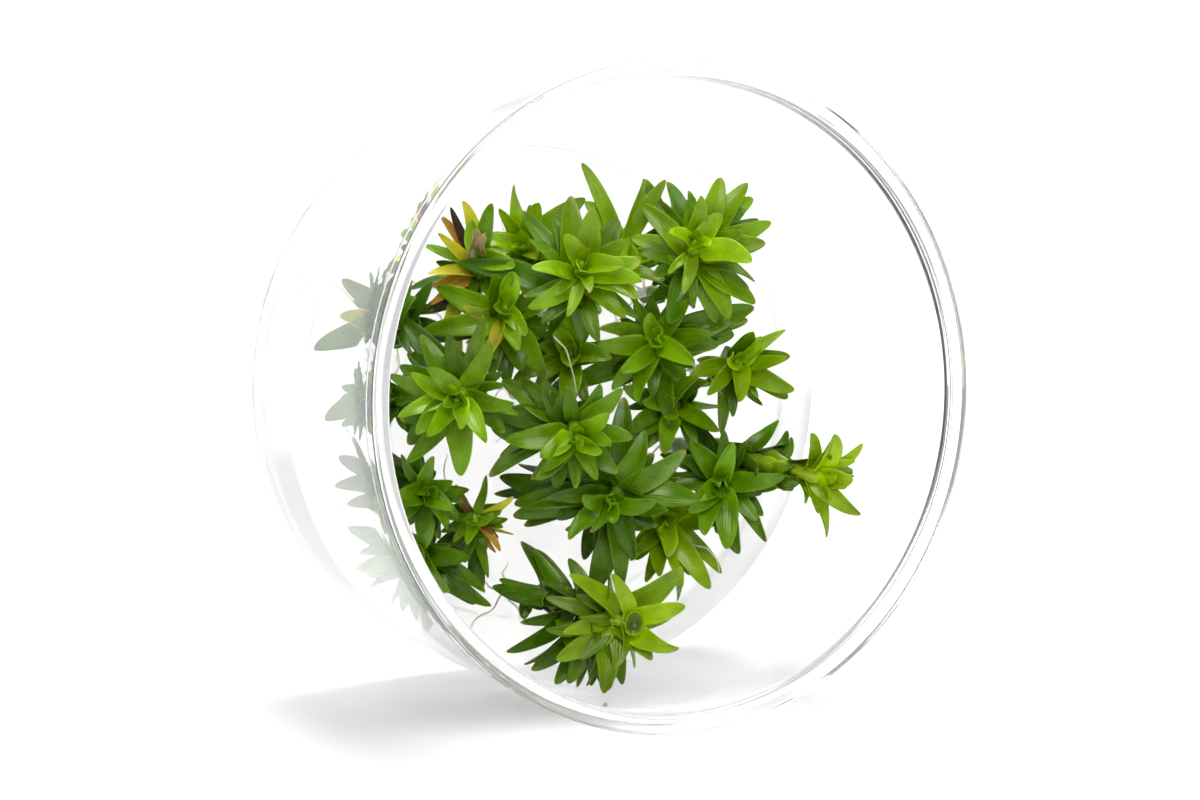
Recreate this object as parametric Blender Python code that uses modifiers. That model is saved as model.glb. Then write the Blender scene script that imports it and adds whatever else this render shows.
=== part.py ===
"""Tissue-culture Tonina fluviatilis in its clear cup, with no lid, lying on its side as it is shown.

The cup's axis lies along Y, with the mouth towards -Y and the floor at Z = 0. The agar gel fills the cup's
bottom, and the shoots grow out of it towards the mouth. Lengths are in metres and angles in degrees.

A place inside the cup is given as (across, up, out) in millimetres from the middle of the gel's surface:
across to the right and up the disc as one looks into the mouth, and out from the gel towards the mouth.
The leaves were measured as they are seen from one side of the mouth, so a leaf is given by the way that
its tip lies from the top of its shoot in that view, as a compass angle and a reach in millimetres.
"""

from dataclasses import dataclass, field
from math import atan2, cos, pi, radians, sin, sqrt

import bmesh
import bpy
from mathutils import Matrix, Vector
from mathutils.bvhtree import BVHTree

MM = 0.001

# Cup
FACETS = 32
RIM_RADIUS = 50.0
RIM_DEPTH = 3.0
MOUTH_RADIUS = 47.6
WALL_TOP_RADIUS = 48.5
WALL_FOOT_RADIUS = 46.6
WALL = 1.0
CORNER = 2.5
CORNER_STEPS = 2
HEIGHT = 58.0
FOOT_RADIUS = 38.0
FOOT_STEP = 0.8
FLOOR_TOP = 2.2
INNER_CORNER = 2.0
INNER_FOOT = 3.7

# Gel
GAP = 0.3
GEL_TOP = 17.0
SOCKET_DEPTH = 6.0
SOCKET_SIDES = 5

# Stems
STEM_RADIUS = 1.25
BUD_LENGTH = 3.0
BUD_TIP_RADIUS = 0.25
STEM_STRAIGHT = 1.0
STEM_STEPS = 2
STEM_BOW = 0.6
STEM_SIDES = 6
SHARP_ANGLE = 50.0

# Leaves
LEAF_LENGTH = 11.0
SLENDER = 0.145
WIDEST, NARROWEST = 1.7, 0.75
THICK = 0.55
BOW = 0.16
STATIONS = ((0.0, 0.36), (0.42, 1.0), (0.78, 0.72))
FEW_STATIONS = ((0.0, 0.36), (0.52, 1.0))
BEND_SHARE = 0.45
SEATED = 0.5
EDGE_ON = 0.05

# A leaf of the shoot's top rises towards the view, an older one less, and an old one hangs back
YOUNG_TO, OLDER_TO = 3.0, 6.0
YOUNG_RISE, OLDER_RISE, OLD_RISE = 0.75, 0.35, -0.2
FACING = 0.8
SIMPLE_FROM = 3.2
SIMPLE_WIDTH = 0.85
LEAST_SPARE = 1.0

# The leaves that go round a stem on the side that faces away
SPIRAL_FROM, SPIRAL_STEP = 1.5, 2.1
SPIRAL_OPENING, SPIRAL_WIDENING, SPIRAL_WIDEST = 50, 7, 95
SPIRAL_LENGTH = 0.92
SPIRAL_TURN = 3
SPIRAL_LIFT = 0.06
HIDDEN_FROM = 0.15
FREE_FROM = 0.42
ROOM = 0.2
WALL_ROOM = 0.5
HIGHEST_OUT = 36.0
HIGHEST_TIP = 35.2
LOWEST_OUT = 0.9
GOLDEN_ANGLE = 137.5
NUDGES = (
    (0.0, 0, 1.0),
    (1.5, 0, 1.0),
    (-1.5, 0, 1.0),
    (3.0, 0, 1.0),
    (-3.0, 0, 1.0),
    (0.0, 5, 1.0),
    (0.0, -5, 1.0),
    (4.5, 0, 1.0),
    (-4.5, 0, 1.0),
    (2.0, 9, 0.97),
    (-2.0, -9, 0.97),
    (6.0, 0, 0.94),
    (-6.0, 0, 0.94),
    (0.0, 0, 0.8),
    (3.0, 12, 0.85),
    (-3.0, -12, 0.85),
)

# The side of the mouth from which the leaves were measured
VIEW_TURN = 28.9
VIEW_DOWN = 7.4

# The cup leans until its rim and its foot both lie on the floor, on one flat facet each
APOTHEM = cos(pi / FACETS)
LEAN = atan2((RIM_RADIUS - WALL_FOOT_RADIUS) * APOTHEM, HEIGHT - RIM_DEPTH - CORNER)
AXIS = Vector((0.0, -cos(LEAN), sin(LEAN)))
ACROSS = Vector((1.0, 0.0, 0.0))
UP_DISC = AXIS.cross(ACROSS)

# The origin is on the floor, under the middle of the whole object
MIDDLE = (HEIGHT * cos(LEAN) + (FOOT_RADIUS - RIM_RADIUS) * APOTHEM * sin(LEAN)) / 2
RIM_HEIGHT = RIM_RADIUS * APOTHEM * cos(LEAN) + RIM_DEPTH * sin(LEAN)
MOUTH = Vector((0.0, -MIDDLE, RIM_HEIGHT))
BASE = MOUTH - AXIS * HEIGHT
GEL_FACE = BASE + AXIS * GEL_TOP
CUP_TURN = Matrix.Rotation(-LEAN, 4, "X") @ Matrix.Rotation(pi / 2, 4, "X")

LOOK = Vector(
    (
        sin(radians(VIEW_TURN)) * cos(radians(VIEW_DOWN)),
        cos(radians(VIEW_TURN)) * cos(radians(VIEW_DOWN)),
        -sin(radians(VIEW_DOWN)),
    )
)
RIGHT = Vector((cos(radians(VIEW_TURN)), -sin(radians(VIEW_TURN)), 0.0))
UPWARD = RIGHT.cross(LOOK)
TOWARD = -LOOK


@dataclass
class Shoot:
    """One shoot: where it leaves the gel, its top, and its leaves.

    A leaf is (compass angle, reach, how far down the stem it starts) and, where it isn't of the usual
    width, a width factor. The spiral adds leaves on the side that faces away.
    """

    name: str
    root: tuple
    top: tuple
    leaves: tuple
    spiral: int = 2
    colour: tuple = (0.10, 0.27, 0.01)
    leaf_length: float = LEAF_LENGTH
    thickness: float = 1.0
    placed: list = field(default_factory=list)


SHOOTS = (
    Shoot(
        "shoot_lower_front",
        root=(-9.0, -32.0),
        top=(-1.1, -35.2, 24.0),
        leaves=(
            (110, 8.4, 0.5),
            (141, 12.0, 2.5),
            (20, 8.8, 1.0),
            (336, 8.0, 1.0),
            (249, 6.5, 1.5),
            (206, 12.7, 3.0),
            (187, 10.3, 3.5),
            (48, 11.6, 4.0),
            (163, 13.7, 5.0),
            (184, 13.0, 5.5),
            (156, 15.1, 7.0),
            (235, 11.8, 5.0),
            (249, 11.4, 4.5),
            (229, 13.5, 6.5),
            (135, 13.7, 7.5),
            (300, 6.3, 3.5),
            (206, 17.1, 9.0),
            (181, 17.2, 10.0),
            (194, 19.9, 11.5),
            (144, 18.7, 12.0),
            (145, 21.1, 13.5),
            (163, 21.5, 14.0),
            (167, 22.3, 15.5),
        ),
        colour=(0.24, 0.45, 0.01),
    ),
    Shoot(
        "shoot_upper_middle",
        root=(-3.0, 11.0),
        top=(-9.4, 19.1, 27.0),
        leaves=(
            (292, 4.0, 0.5, 0.8),
            (349, 9.4, 1.5),
            (8, 9.0, 2.0),
            (333, 9.7, 2.5),
            (313, 9.8, 3.0),
            (79, 9.1, 2.0),
            (31, 8.6, 3.0),
            (256, 7.4, 1.5, 0.8),
            (98, 11.3, 4.0, 1.15),
            (284, 11.0, 5.0),
            (180, 7.1, 2.5),
            (216, 9.7, 4.0),
            (135, 12.9, 7.0),
            (176, 19.1, 11.0),
            (242, 11.0, 7.0),
        ),
    ),
    Shoot(
        "shoot_upper_right",
        root=(17.0, 14.0),
        top=(11.0, 21.5, 25.0),
        leaves=(
            (346, 9.1, 0.5),
            (258, 7.3, 1.0, 0.9),
            (69, 11.6, 2.0, 1.05),
            (51, 13.1, 3.5),
            (41, 12.1, 4.0),
            (19, 12.6, 3.0),
            (4, 11.0, 2.5),
            (332, 10.7, 3.5),
            (319, 12.6, 4.5),
            (297, 12.0, 3.5),
            (287, 11.7, 5.0),
            (82, 7.8, 1.0),
            (139, 10.5, 3.0),
            (170, 9.7, 4.0),
            (127, 9.6, 5.5),
            (111, 11.4, 8.0, 0.8),
            (124, 13.4, 9.0, 0.8),
        ),
        colour=(0.17, 0.38, 0.01),
    ),
    Shoot(
        "shoot_right_front",
        root=(21.0, -11.0),
        top=(27.9, -14.1, 31.0),
        leaves=(
            (97, 6.7, 1.5),
            (68, 5.8, 1.0, 0.6),
            (35, 8.8, 1.0, 0.65),
            (21, 6.6, 0.5, 0.7),
            (1, 6.0, 1.0, 0.8),
            (340, 5.1, 1.5, 0.8),
            (320, 9.2, 1.0),
            (281, 9.7, 2.0),
            (120, 6.8, 8.0),
            (120, 8.0, 9.5),
            (175, 5.4, 9.0),
            (122, 10.0, 15.0),
        ),
        colour=(0.30, 0.50, 0.01),
        leaf_length=10.0,
    ),
    Shoot(
        "shoot_left_front",
        root=(-20.0, 3.0),
        top=(-29.2, 1.1, 25.0),
        leaves=(
            (135, 5.8, 0.5),
            (199, 9.1, 1.0),
            (234, 7.0, 1.0),
            (162, 10.8, 2.5),
            (231, 12.3, 3.0),
            (271, 11.6, 3.0, 1.2),
            (303, 7.9, 2.0),
            (344, 9.2, 3.0),
            (15, 7.2, 3.5),
            (61, 9.7, 3.0, 1.1),
            (75, 12.6, 5.0),
            (122, 11.0, 5.5),
            (127, 15.3, 8.0),
        ),
        colour=(0.16, 0.36, 0.01),
    ),
    Shoot(
        "shoot_centre_front",
        root=(-5.0, -2.0),
        top=(-11.2, -5.5, 27.0),
        leaves=(
            (32, 6.2, 0.5),
            (345, 5.7, 1.0),
            (229, 6.9, 1.5),
            (184, 10.5, 3.0),
            (206, 14.6, 6.0, 0.8),
            (45, 9.9, 3.5),
            (144, 13.9, 6.0),
            (296, 7.5, 3.0),
            (134, 11.8, 5.0),
        ),
    ),
    Shoot(
        "shoot_right_middle",
        root=(26.0, 1.0),
        top=(22.3, 3.1, 17.0),
        leaves=(
            (33, 9.3, 1.0),
            (6, 8.0, 1.5, 0.8),
            (335, 10.2, 1.5, 1.1),
            (326, 10.0, 3.0, 1.1),
            (303, 6.6, 3.5, 0.7),
            (196, 7.3, 2.5),
            (277, 6.0, 4.0),
            (304, 8.1, 6.0, 0.6),
            (260, 11.6, 5.0, 0.8),
        ),
        colour=(0.20, 0.42, 0.01),
    ),
    Shoot(
        "shoot_middle_star",
        root=(14.0, 4.0),
        top=(8.0, 7.1, 18.0),
        leaves=(
            (183, 9.1, 1.0),
            (168, 9.0, 2.0),
            (199, 17.8, 5.0),
            (227, 10.1, 2.0),
            (252, 9.8, 1.5),
            (20, 16.0, 4.0, 1.2),
            (52, 8.2, 2.0),
            (118, 7.3, 3.0),
            (228, 9.5, 4.5),
            (279, 13.0, 5.0),
        ),
    ),
    Shoot(
        "shoot_centre_star",
        root=(6.0, -13.0),
        top=(-2.2, -16.4, 21.0),
        leaves=(
            (183, 15.1, 4.0),
            (169, 17.8, 6.0),
            (178, 18.4, 7.5),
            (190, 15.5, 5.0),
            (197, 14.3, 6.0, 0.8),
            (178, 9.8, 2.5),
            (34, 13.6, 3.0),
            (65, 11.8, 3.5, 1.1),
            (257, 14.9, 5.0, 1.2),
            (276, 13.8, 4.0, 1.1),
            (236, 5.5, 1.0),
            (0, 13.4, 4.0, 1.2),
            (213, 8.5, 3.0),
            (245, 10.5, 8.0),
        ),
        colour=(0.05, 0.17, 0.01),
    ),
    Shoot(
        "shoot_lower_right",
        root=(26.0, -15.0),
        top=(17.6, -15.2, 20.0),
        leaves=(
            (252, 8.5, 1.0),
            (274, 10.3, 1.5),
            (284, 11.5, 2.0, 1.1),
            (307, 11.7, 3.5, 0.8),
            (313, 8.1, 4.0),
            (321, 8.4, 5.0, 0.8),
            (7, 9.9, 2.0),
            (127, 8.2, 2.0, 1.1),
            (87, 8.1, 3.0),
            (189, 12.9, 3.0),
            (156, 10.5, 4.0),
        ),
        colour=(0.06, 0.20, 0.01),
    ),
    Shoot(
        "shoot_lower_middle",
        root=(14.0, -20.0),
        top=(10.6, -21.1, 14.0),
        leaves=(
            (317, 12.2, 2.0, 0.6),
            (304, 12.8, 1.5),
            (285, 10.7, 1.0),
            (279, 13.0, 4.0, 0.8),
            (253, 10.1, 2.8, 0.8),
            (265, 8.6, 2.3),
            (25, 5.5, 1.0, 1.2),
            (234, 7.7, 4.0),
        ),
        colour=(0.24, 0.42, 0.01),
    ),
    Shoot(
        "shoot_lower_left",
        root=(-29.0, -12.0),
        top=(-31.9, -13.1, 18.0),
        leaves=(
            (73, 5.5, 1.0),
            (20, 4.7, 1.0),
            (301, 6.6, 2.0),
            (124, 6.6, 4.0),
            (146, 13.9, 8.0),
            (160, 14.5, 9.0),
            (178, 14.4, 9.5),
            (190, 12.4, 8.5),
        ),
        colour=(0.05, 0.16, 0.01),
        leaf_length=8.5,
    ),
    Shoot(
        "shoot_small_old",
        root=(-18.0, -19.0),
        top=(-21.1, -18.7, 12.0),
        leaves=(
            (76, 7.0, 1.0, 0.7),
            (31, 6.8, 1.5, 0.7),
            (20, 4.5, 1.0, 0.8),
            (324, 3.6, 2.0, 0.7),
            (308, 6.2, 2.5, 0.8),
            (274, 11.0, 7.0, 0.7),
            (281, 9.3, 5.0, 0.7),
            (120, 6.1, 3.0, 0.8),
        ),
        colour=(0.14, 0.16, 0.02),
        leaf_length=6.5,
    ),
    Shoot(
        "shoot_left_upper",
        root=(-26.0, 11.0),
        top=(-33.1, 11.6, 12.0),
        leaves=(
            (139, 10.0, 1.5),
            (112, 8.2, 1.0),
            (172, 7.6, 1.0),
            (191, 7.6, 2.5),
            (197, 12.7, 3.0, 1.1),
            (82, 5.3, 2.0),
            (48, 8.5, 2.5),
            (67, 7.0, 1.5),
        ),
        colour=(0.08, 0.22, 0.02),
    ),
    Shoot(
        "shoot_left_wall",
        root=(-28.0, -2.0),
        top=(-34.5, 0.8, 13.0),
        leaves=(
            (166, 6.9, 1.0),
            (199, 10.2, 2.0, 1.1),
            (214, 6.9, 3.0),
            (248, 6.8, 2.0),
            (292, 5.2, 3.0),
        ),
        colour=(0.08, 0.22, 0.02),
    ),
    Shoot(
        "shoot_lower_left_wall",
        root=(-26.0, -24.0),
        top=(-30.5, -23.4, 11.0),
        leaves=(
            (159, 11.4, 4.0),
            (193, 10.3, 2.0),
            (202, 7.8, 3.0),
            (242, 9.0, 2.5),
            (258, 8.5, 1.5),
            (277, 11.8, 3.0),
            (269, 10.1, 4.5),
            (324, 13.6, 5.0, 0.7),
            (330, 11.7, 4.0, 0.7),
            (315, 7.5, 2.0),
        ),
        colour=(0.05, 0.16, 0.01),
    ),
    Shoot(
        "shoot_upper_left",
        root=(-16.0, 15.0),
        top=(-18.1, 20.4, 10.0),
        leaves=(
            (105, 9.6, 2.0),
            (117, 9.2, 1.5, 0.9),
            (130, 9.0, 2.5, 0.7),
            (145, 7.2, 2.0, 0.7),
            (164, 8.5, 1.0),
            (195, 7.6, 2.5),
            (222, 9.8, 3.0),
            (243, 12.5, 4.0),
            (96, 4.6, 1.0),
            (66, 3.7, 1.0),
        ),
        colour=(0.30, 0.24, 0.02),
    ),
    Shoot(
        "shoot_top_back",
        root=(-6.0, 20.0),
        top=(-10.1, 21.9, 10.0),
        leaves=(
            (100, 10.1, 1.0),
            (122, 7.2, 1.5),
            (72, 7.3, 1.0),
            (41, 12.1, 2.0),
            (279, 9.3, 3.0),
        ),
        colour=(0.12, 0.30, 0.01),
    ),
    Shoot(
        "shoot_top_middle",
        root=(2.0, 16.0),
        top=(4.5, 19.5, 15.0),
        leaves=(
            (114, 16.8, 1.5, 0.6),
            (124, 11.2, 1.0),
            (78, 13.3, 1.5, 0.8),
            (64, 14.1, 2.0, 0.8),
            (330, 9.0, 2.5),
            (285, 9.0, 3.0),
        ),
        colour=(0.15, 0.34, 0.01),
    ),
    Shoot(
        "shoot_left_back",
        root=(-13.5, 8.5),
        top=(-16.6, 12.9, 15.0),
        leaves=(
            (194, 13.0, 2.0),
            (160, 11.0, 2.5),
            (252, 7.7, 1.0),
            (294, 6.5, 1.0),
            (303, 12.0, 2.5),
            (75, 6.0, 1.5),
        ),
        colour=(0.20, 0.30, 0.01),
    ),
    Shoot(
        "shoot_middle_back",
        root=(-1.0, 4.0),
        top=(-4.0, 5.5, 12.0),
        leaves=(
            (95, 8.0, 1.0),
            (150, 9.0, 2.0),
            (205, 9.5, 2.0),
            (262, 9.0, 1.5),
            (20, 7.0, 2.0),
        ),
        colour=(0.07, 0.20, 0.01),
    ),
    Shoot(
        "shoot_right_back",
        root=(19.0, -4.0),
        top=(13.0, -3.0, 13.0),
        leaves=(
            (80, 8.0, 1.0),
            (160, 8.0, 1.5),
            (215, 9.0, 2.0),
            (262, 8.0, 2.0),
            (330, 8.5, 2.0),
        ),
        colour=(0.16, 0.32, 0.02),
    ),
)


def inside(across, up, out):
    """The world place, in millimetres, of a point given from the middle of the gel's surface."""
    return GEL_FACE + ACROSS * across + UP_DISC * up + AXIS * out


def out_of(point):
    """How far a place stands out from the gel."""
    return (point - GEL_FACE).dot(AXIS)


def wall_radius(out):
    """The inner radius of the cup's wall at a distance out from the gel's surface."""
    share = (out + GEL_TOP - CORNER) / (HEIGHT - RIM_DEPTH - CORNER)
    return WALL_FOOT_RADIUS - WALL + (WALL_TOP_RADIUS - WALL_FOOT_RADIUS) * share


def holds(point, room):
    """Whether a place lies inside the cup, above the gel, with room to spare."""
    out = out_of(point)
    spoke = point - GEL_FACE - AXIS * out
    return LOWEST_OUT <= out <= HIGHEST_OUT and spoke.length <= wall_radius(out) * APOTHEM - room


def material(name, colour, roughness, alpha=1.0):
    """A plain Principled finish, with the nodes that Blender gives a new material."""
    finish = bpy.data.materials.new(name)
    finish.use_nodes = True
    shader = finish.node_tree.nodes["Principled BSDF"]
    shader.inputs["Base Color"].default_value = (*colour, 1.0)
    shader.inputs["Roughness"].default_value = roughness
    shader.inputs["Metallic"].default_value = 0.0
    shader.inputs["Alpha"].default_value = alpha
    finish.diffuse_color = (*colour, alpha)
    return finish


def add_object(name, mesh, collection, finish=None):
    """Puts a mesh in the scene as one named object."""
    made = bpy.data.objects.new(name, mesh)
    collection.objects.link(made)
    if finish:
        mesh.materials.append(finish)
    return made


def as_cutter(made):
    """Marks an object as one that only cuts or joins."""
    made.hide_render = True
    made.display_type = "WIRE"
    return made


def mesh_from(name, points, faces):
    """A mesh from corner places in millimetres and lists of corners."""
    mesh = bpy.data.meshes.new(name)
    mesh.from_pydata([tuple(point * MM) for point in points], [], faces)
    mesh.update()
    return mesh


def turned(name, profile, collection, finish):
    """Turns an open profile of (radius, height) points round the cup's axis and lays it on its side."""
    mesh = bpy.data.meshes.new(name)
    corners = [(radius * MM, 0.0, height * MM) for radius, height in profile]
    mesh.from_pydata(corners, [(i, i + 1) for i in range(len(corners) - 1)], [])
    made = add_object(name, mesh, collection, finish)
    screw = made.modifiers.new("turn", "SCREW")
    screw.axis = "Z"
    screw.steps = screw.render_steps = FACETS
    screw.use_merge_vertices = True
    screw.merge_threshold = 0.00001
    made.matrix_world = (
        Matrix.Translation(BASE * MM) @ CUP_TURN @ Matrix.Rotation(pi / FACETS, 4, "Z")
    )
    return made


def corner_arc(radius, height, size, start, steps):
    """Points of a quarter circle of a turned profile, from the wall's foot round to the base."""
    centre = (radius - size, height + size)
    turns = [radians(start) + (pi / 2) * i / steps for i in range(steps + 1)]
    return [(centre[0] + size * cos(a), centre[1] - size * sin(a)) for a in turns]


def make_cup(collection):
    """The thin clear cup: a flat foot disc, a round corner, a tapered wall and a thick rim."""
    under_rim = HEIGHT - RIM_DEPTH
    outer = [
        (0.0, 0.0),
        (FOOT_RADIUS, 0.0),
        (FOOT_RADIUS + FOOT_STEP / 2, FOOT_STEP),
    ]
    arc = corner_arc(WALL_FOOT_RADIUS, FOOT_STEP, CORNER - FOOT_STEP, 0.0, CORNER_STEPS)
    outer += reversed(arc)
    outer += [
        (WALL_TOP_RADIUS, under_rim),
        (RIM_RADIUS, under_rim),
        (RIM_RADIUS, HEIGHT),
    ]
    inner = [
        (MOUTH_RADIUS, HEIGHT),
        (WALL_TOP_RADIUS - WALL, under_rim),
        (WALL_FOOT_RADIUS - WALL, INNER_FOOT),
        (WALL_FOOT_RADIUS - WALL - INNER_CORNER, FLOOR_TOP),
        (0.0, FLOOR_TOP),
    ]
    clear = material("clear_plastic", (0.92, 0.94, 0.95), 0.05, alpha=0.3)
    return turned("cup", list(reversed(outer + inner)), collection, clear)


def make_gel(collection, cutters):
    """The agar block in the bottom of the cup, with a socket round each stem."""
    wall_at_top = wall_radius(0.0)
    profile = [
        (0.0, FLOOR_TOP + GAP),
        (WALL_FOOT_RADIUS - WALL - INNER_CORNER - GAP, FLOOR_TOP + GAP),
        (WALL_FOOT_RADIUS - WALL - GAP, INNER_FOOT + GAP),
        (wall_at_top - GAP, GEL_TOP),
        (0.0, GEL_TOP),
    ]
    agar = material("agar_gel", (0.90, 0.87, 0.80), 0.25, alpha=0.6)
    gel = turned("gel", list(reversed(profile)), collection, agar)
    sockets = bmesh.new()
    depth = SOCKET_DEPTH + GAP + STEM_STRAIGHT
    for shoot in SHOOTS:
        middle = inside(*shoot.root, STEM_STRAIGHT - depth / 2)
        radius = STEM_RADIUS * shoot.thickness + GAP
        turn = AXIS.to_track_quat("Z", "Y").to_matrix().to_4x4()
        bmesh.ops.create_cone(
            sockets,
            cap_ends=True,
            segments=SOCKET_SIDES,
            radius1=radius * MM / cos(pi / SOCKET_SIDES),
            radius2=radius * MM / cos(pi / SOCKET_SIDES),
            depth=depth * MM,
            matrix=Matrix.Translation(middle * MM) @ turn,
        )
    mesh = bpy.data.meshes.new("gel_sockets")
    sockets.to_mesh(mesh)
    sockets.free()
    cutter = as_cutter(add_object("gel_sockets", mesh, cutters))
    cut = gel.modifiers.new("sockets", "BOOLEAN")
    cut.operation = "DIFFERENCE"
    cut.object = cutter
    return gel


def stem_points(shoot):
    """The stem's route: straight out of the gel, then one bow to the top of the shoot."""
    start = inside(*shoot.root, STEM_STRAIGHT)
    bend = inside(*shoot.root, shoot.top[2] * STEM_BOW)
    top = inside(*shoot.top)
    route = [inside(*shoot.root, -SOCKET_DEPTH), start]
    for step in range(1, STEM_STEPS + 1):
        t = step / STEM_STEPS
        route.append(start * (1 - t) ** 2 + bend * 2 * t * (1 - t) + top * t * t)
    return route


def down_the_stem(route, distance):
    """The place and the direction of the stem at a distance below its top."""
    for upper, lower in zip(reversed(route), reversed(route[:-1]), strict=False):
        step = (upper - lower).length
        if distance <= step:
            return upper.lerp(lower, distance / step), (upper - lower).normalized()
        distance -= step
    return route[1], AXIS


class Leaf:
    """A lance-shaped leaf on a bowed spine, as a body with a flat upper face and a keel below."""

    def __init__(self, core, along, tip, width=1.0, stations=STATIONS, facing=None):
        spoke = tip - core - along * (tip - core).dot(along)
        start = core + spoke.normalized() * (STEM_RADIUS * SEATED)
        self.start, self.tip, self.stations = start, tip, stations
        reach = tip - start
        self.bend = start + reach * BEND_SHARE + along * (BOW * reach.length)
        self.facing = facing or along
        self.half = min(max(reach.length * SLENDER, NARROWEST), WIDEST) * width

    def spine(self, t):
        """A place on the spine and its direction there."""
        place = self.start * (1 - t) ** 2 + self.bend * 2 * t * (1 - t) + self.tip * t * t
        way = (self.bend - self.start) * (1 - t) + (self.tip - self.bend) * t
        return place, way.normalized()

    def body(self, grown=0.0, stations=None):
        """Corner places and faces of the leaf, made larger on every side for a test of its room."""
        points, faces = [], []
        stations = stations or self.stations
        for t, share in stations:
            place, way = self.spine(t)
            side = way.cross(self.facing)
            if side.length < EDGE_ON:
                side = way.cross(UPWARD)
            side.normalize()
            over = side.cross(way).normalized()
            half = self.half * share + grown
            points += [
                place + side * half + over * grown,
                place - side * half + over * grown,
                place - over * (THICK + grown),
            ]
        points.append(self.tip + (self.tip - self.bend).normalized() * grown)
        last = 3 * (len(stations) - 1)
        faces.append((0, 1, 2))
        for ring in range(0, last, 3):
            for side in range(3):
                a, b = ring + side, ring + (side + 1) % 3
                faces.append((b, a, a + 3, b + 3))
        for side in range(3):
            faces.append((last + (side + 1) % 3, last + side, len(points) - 1))
        return points, faces

    def free_part(self):
        """The stations of the leaf that stand clear of the stem and of the leaves beside it."""
        return tuple(station for station in self.stations if station[0] >= FREE_FROM)


def tree_of(points, faces):
    """A search tree for the test of whether two bodies meet."""
    return BVHTree.FromPolygons([tuple(point) for point in points], faces)


@dataclass
class Taken:
    """Space that is already filled: whose it is, where, and the shapes that fill it."""

    owner: str
    middle: Vector
    reach: float
    whole: BVHTree
    free: BVHTree = None


def taken_by_leaf(owner, leaf):
    """The space that a leaf fills."""
    points, faces = leaf.body()
    free_points, free_faces = leaf.body(stations=leaf.free_part())
    middle = (leaf.start + leaf.tip) / 2
    reach = max((point - middle).length for point in points)
    return Taken(owner, middle, reach, tree_of(points, faces), tree_of(free_points, free_faces))


def taken_by_stem(shoot, route):
    """The space that a stem fills, with the room that it keeps."""
    points, faces = [], []
    radius = STEM_RADIUS * shoot.thickness
    for i, place in enumerate(route):
        ahead = route[min(i + 1, len(route) - 1)] - route[max(i - 1, 0)]
        turn = ahead.to_track_quat("Z", "Y")
        for side in range(STEM_SIDES):
            angle = 2 * pi * side / STEM_SIDES
            spoke = Vector((cos(angle), sin(angle), 0.0)) * (radius + ROOM)
            points.append(place + turn @ spoke)
    for ring in range(0, STEM_SIDES * (len(route) - 1), STEM_SIDES):
        for side in range(STEM_SIDES):
            a, b = ring + side, ring + (side + 1) % STEM_SIDES
            faces.append((a, b, b + STEM_SIDES, a + STEM_SIDES))
    middle = (route[0] + route[-1]) / 2
    reach = max((point - middle).length for point in points)
    return Taken(shoot.name, middle, reach, tree_of(points, faces))


def has_room(owner, leaf, taken):
    """Whether a leaf stays inside the cup and clear of all that is already placed."""
    points, faces = leaf.body(grown=ROOM)
    if not all(holds(point, WALL_ROOM) for point in points[3:]):
        return False
    whole = tree_of(points, faces)
    free = tree_of(*leaf.body(grown=ROOM, stations=leaf.free_part()))
    middle = (leaf.start + leaf.tip) / 2
    reach = max((point - middle).length for point in points)
    for other in taken:
        if (other.middle - middle).length > other.reach + reach:
            continue
        if other.owner != owner:
            if whole.overlap(other.whole):
                return False
        elif other.free and free.overlap(other.free):
            return False
    return True


def seen_leaf(shoot, route, measured, nudge):
    """A leaf whose tip lies where it was measured, moved by a nudge towards or away from the view."""
    angle, reach, down, *rest = measured
    lift, turn, shrink = nudge
    start, along = down_the_stem(route, down)
    top = inside(*shoot.top)
    angle, reach = radians(angle + turn), reach * shrink
    flat = top + RIGHT * (reach * cos(angle)) + UPWARD * (reach * sin(angle))
    gap = flat - start
    apart = gap - TOWARD * gap.dot(TOWARD)
    spare = sqrt(max(shoot.leaf_length**2 - apart.length_squared, LEAST_SPARE))
    rise = YOUNG_RISE if down < YOUNG_TO else OLDER_RISE if down < OLDER_TO else OLD_RISE
    tip = flat - TOWARD * gap.dot(TOWARD) + TOWARD * (spare * rise + lift)
    too_far = out_of(tip) - HIGHEST_TIP
    if too_far > 0:
        tip += LOOK * (too_far / AXIS.dot(TOWARD))
    width = rest[0] if rest else 1.0
    simple = down >= SIMPLE_FROM or width < SIMPLE_WIDTH
    facing = (along + TOWARD * FACING).normalized()
    return Leaf(start, along, tip, width, FEW_STATIONS if simple else STATIONS, facing)


def spiral_leaf(shoot, route, number, nudge):
    """A leaf of the spiral on the side that faces away: a golden angle on, and lower, each time."""
    lift, turn, shrink = nudge
    start, along = down_the_stem(route, SPIRAL_FROM + SPIRAL_STEP * number)
    spoke = along.orthogonal().normalized()
    angle = radians(GOLDEN_ANGLE * number + SPIRAL_TURN * turn)
    spoke = Matrix.Rotation(angle, 3, along) @ spoke
    if spoke.dot(TOWARD) > HIDDEN_FROM:
        spoke -= TOWARD * (2 * spoke.dot(TOWARD))
    opening = radians(min(SPIRAL_OPENING + SPIRAL_WIDENING * number, SPIRAL_WIDEST))
    opening -= lift * SPIRAL_LIFT
    way = along * cos(opening) + spoke * sin(opening)
    length = shoot.leaf_length * SPIRAL_LENGTH * shrink
    return Leaf(start, along, start + way * length, stations=FEW_STATIONS)


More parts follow.
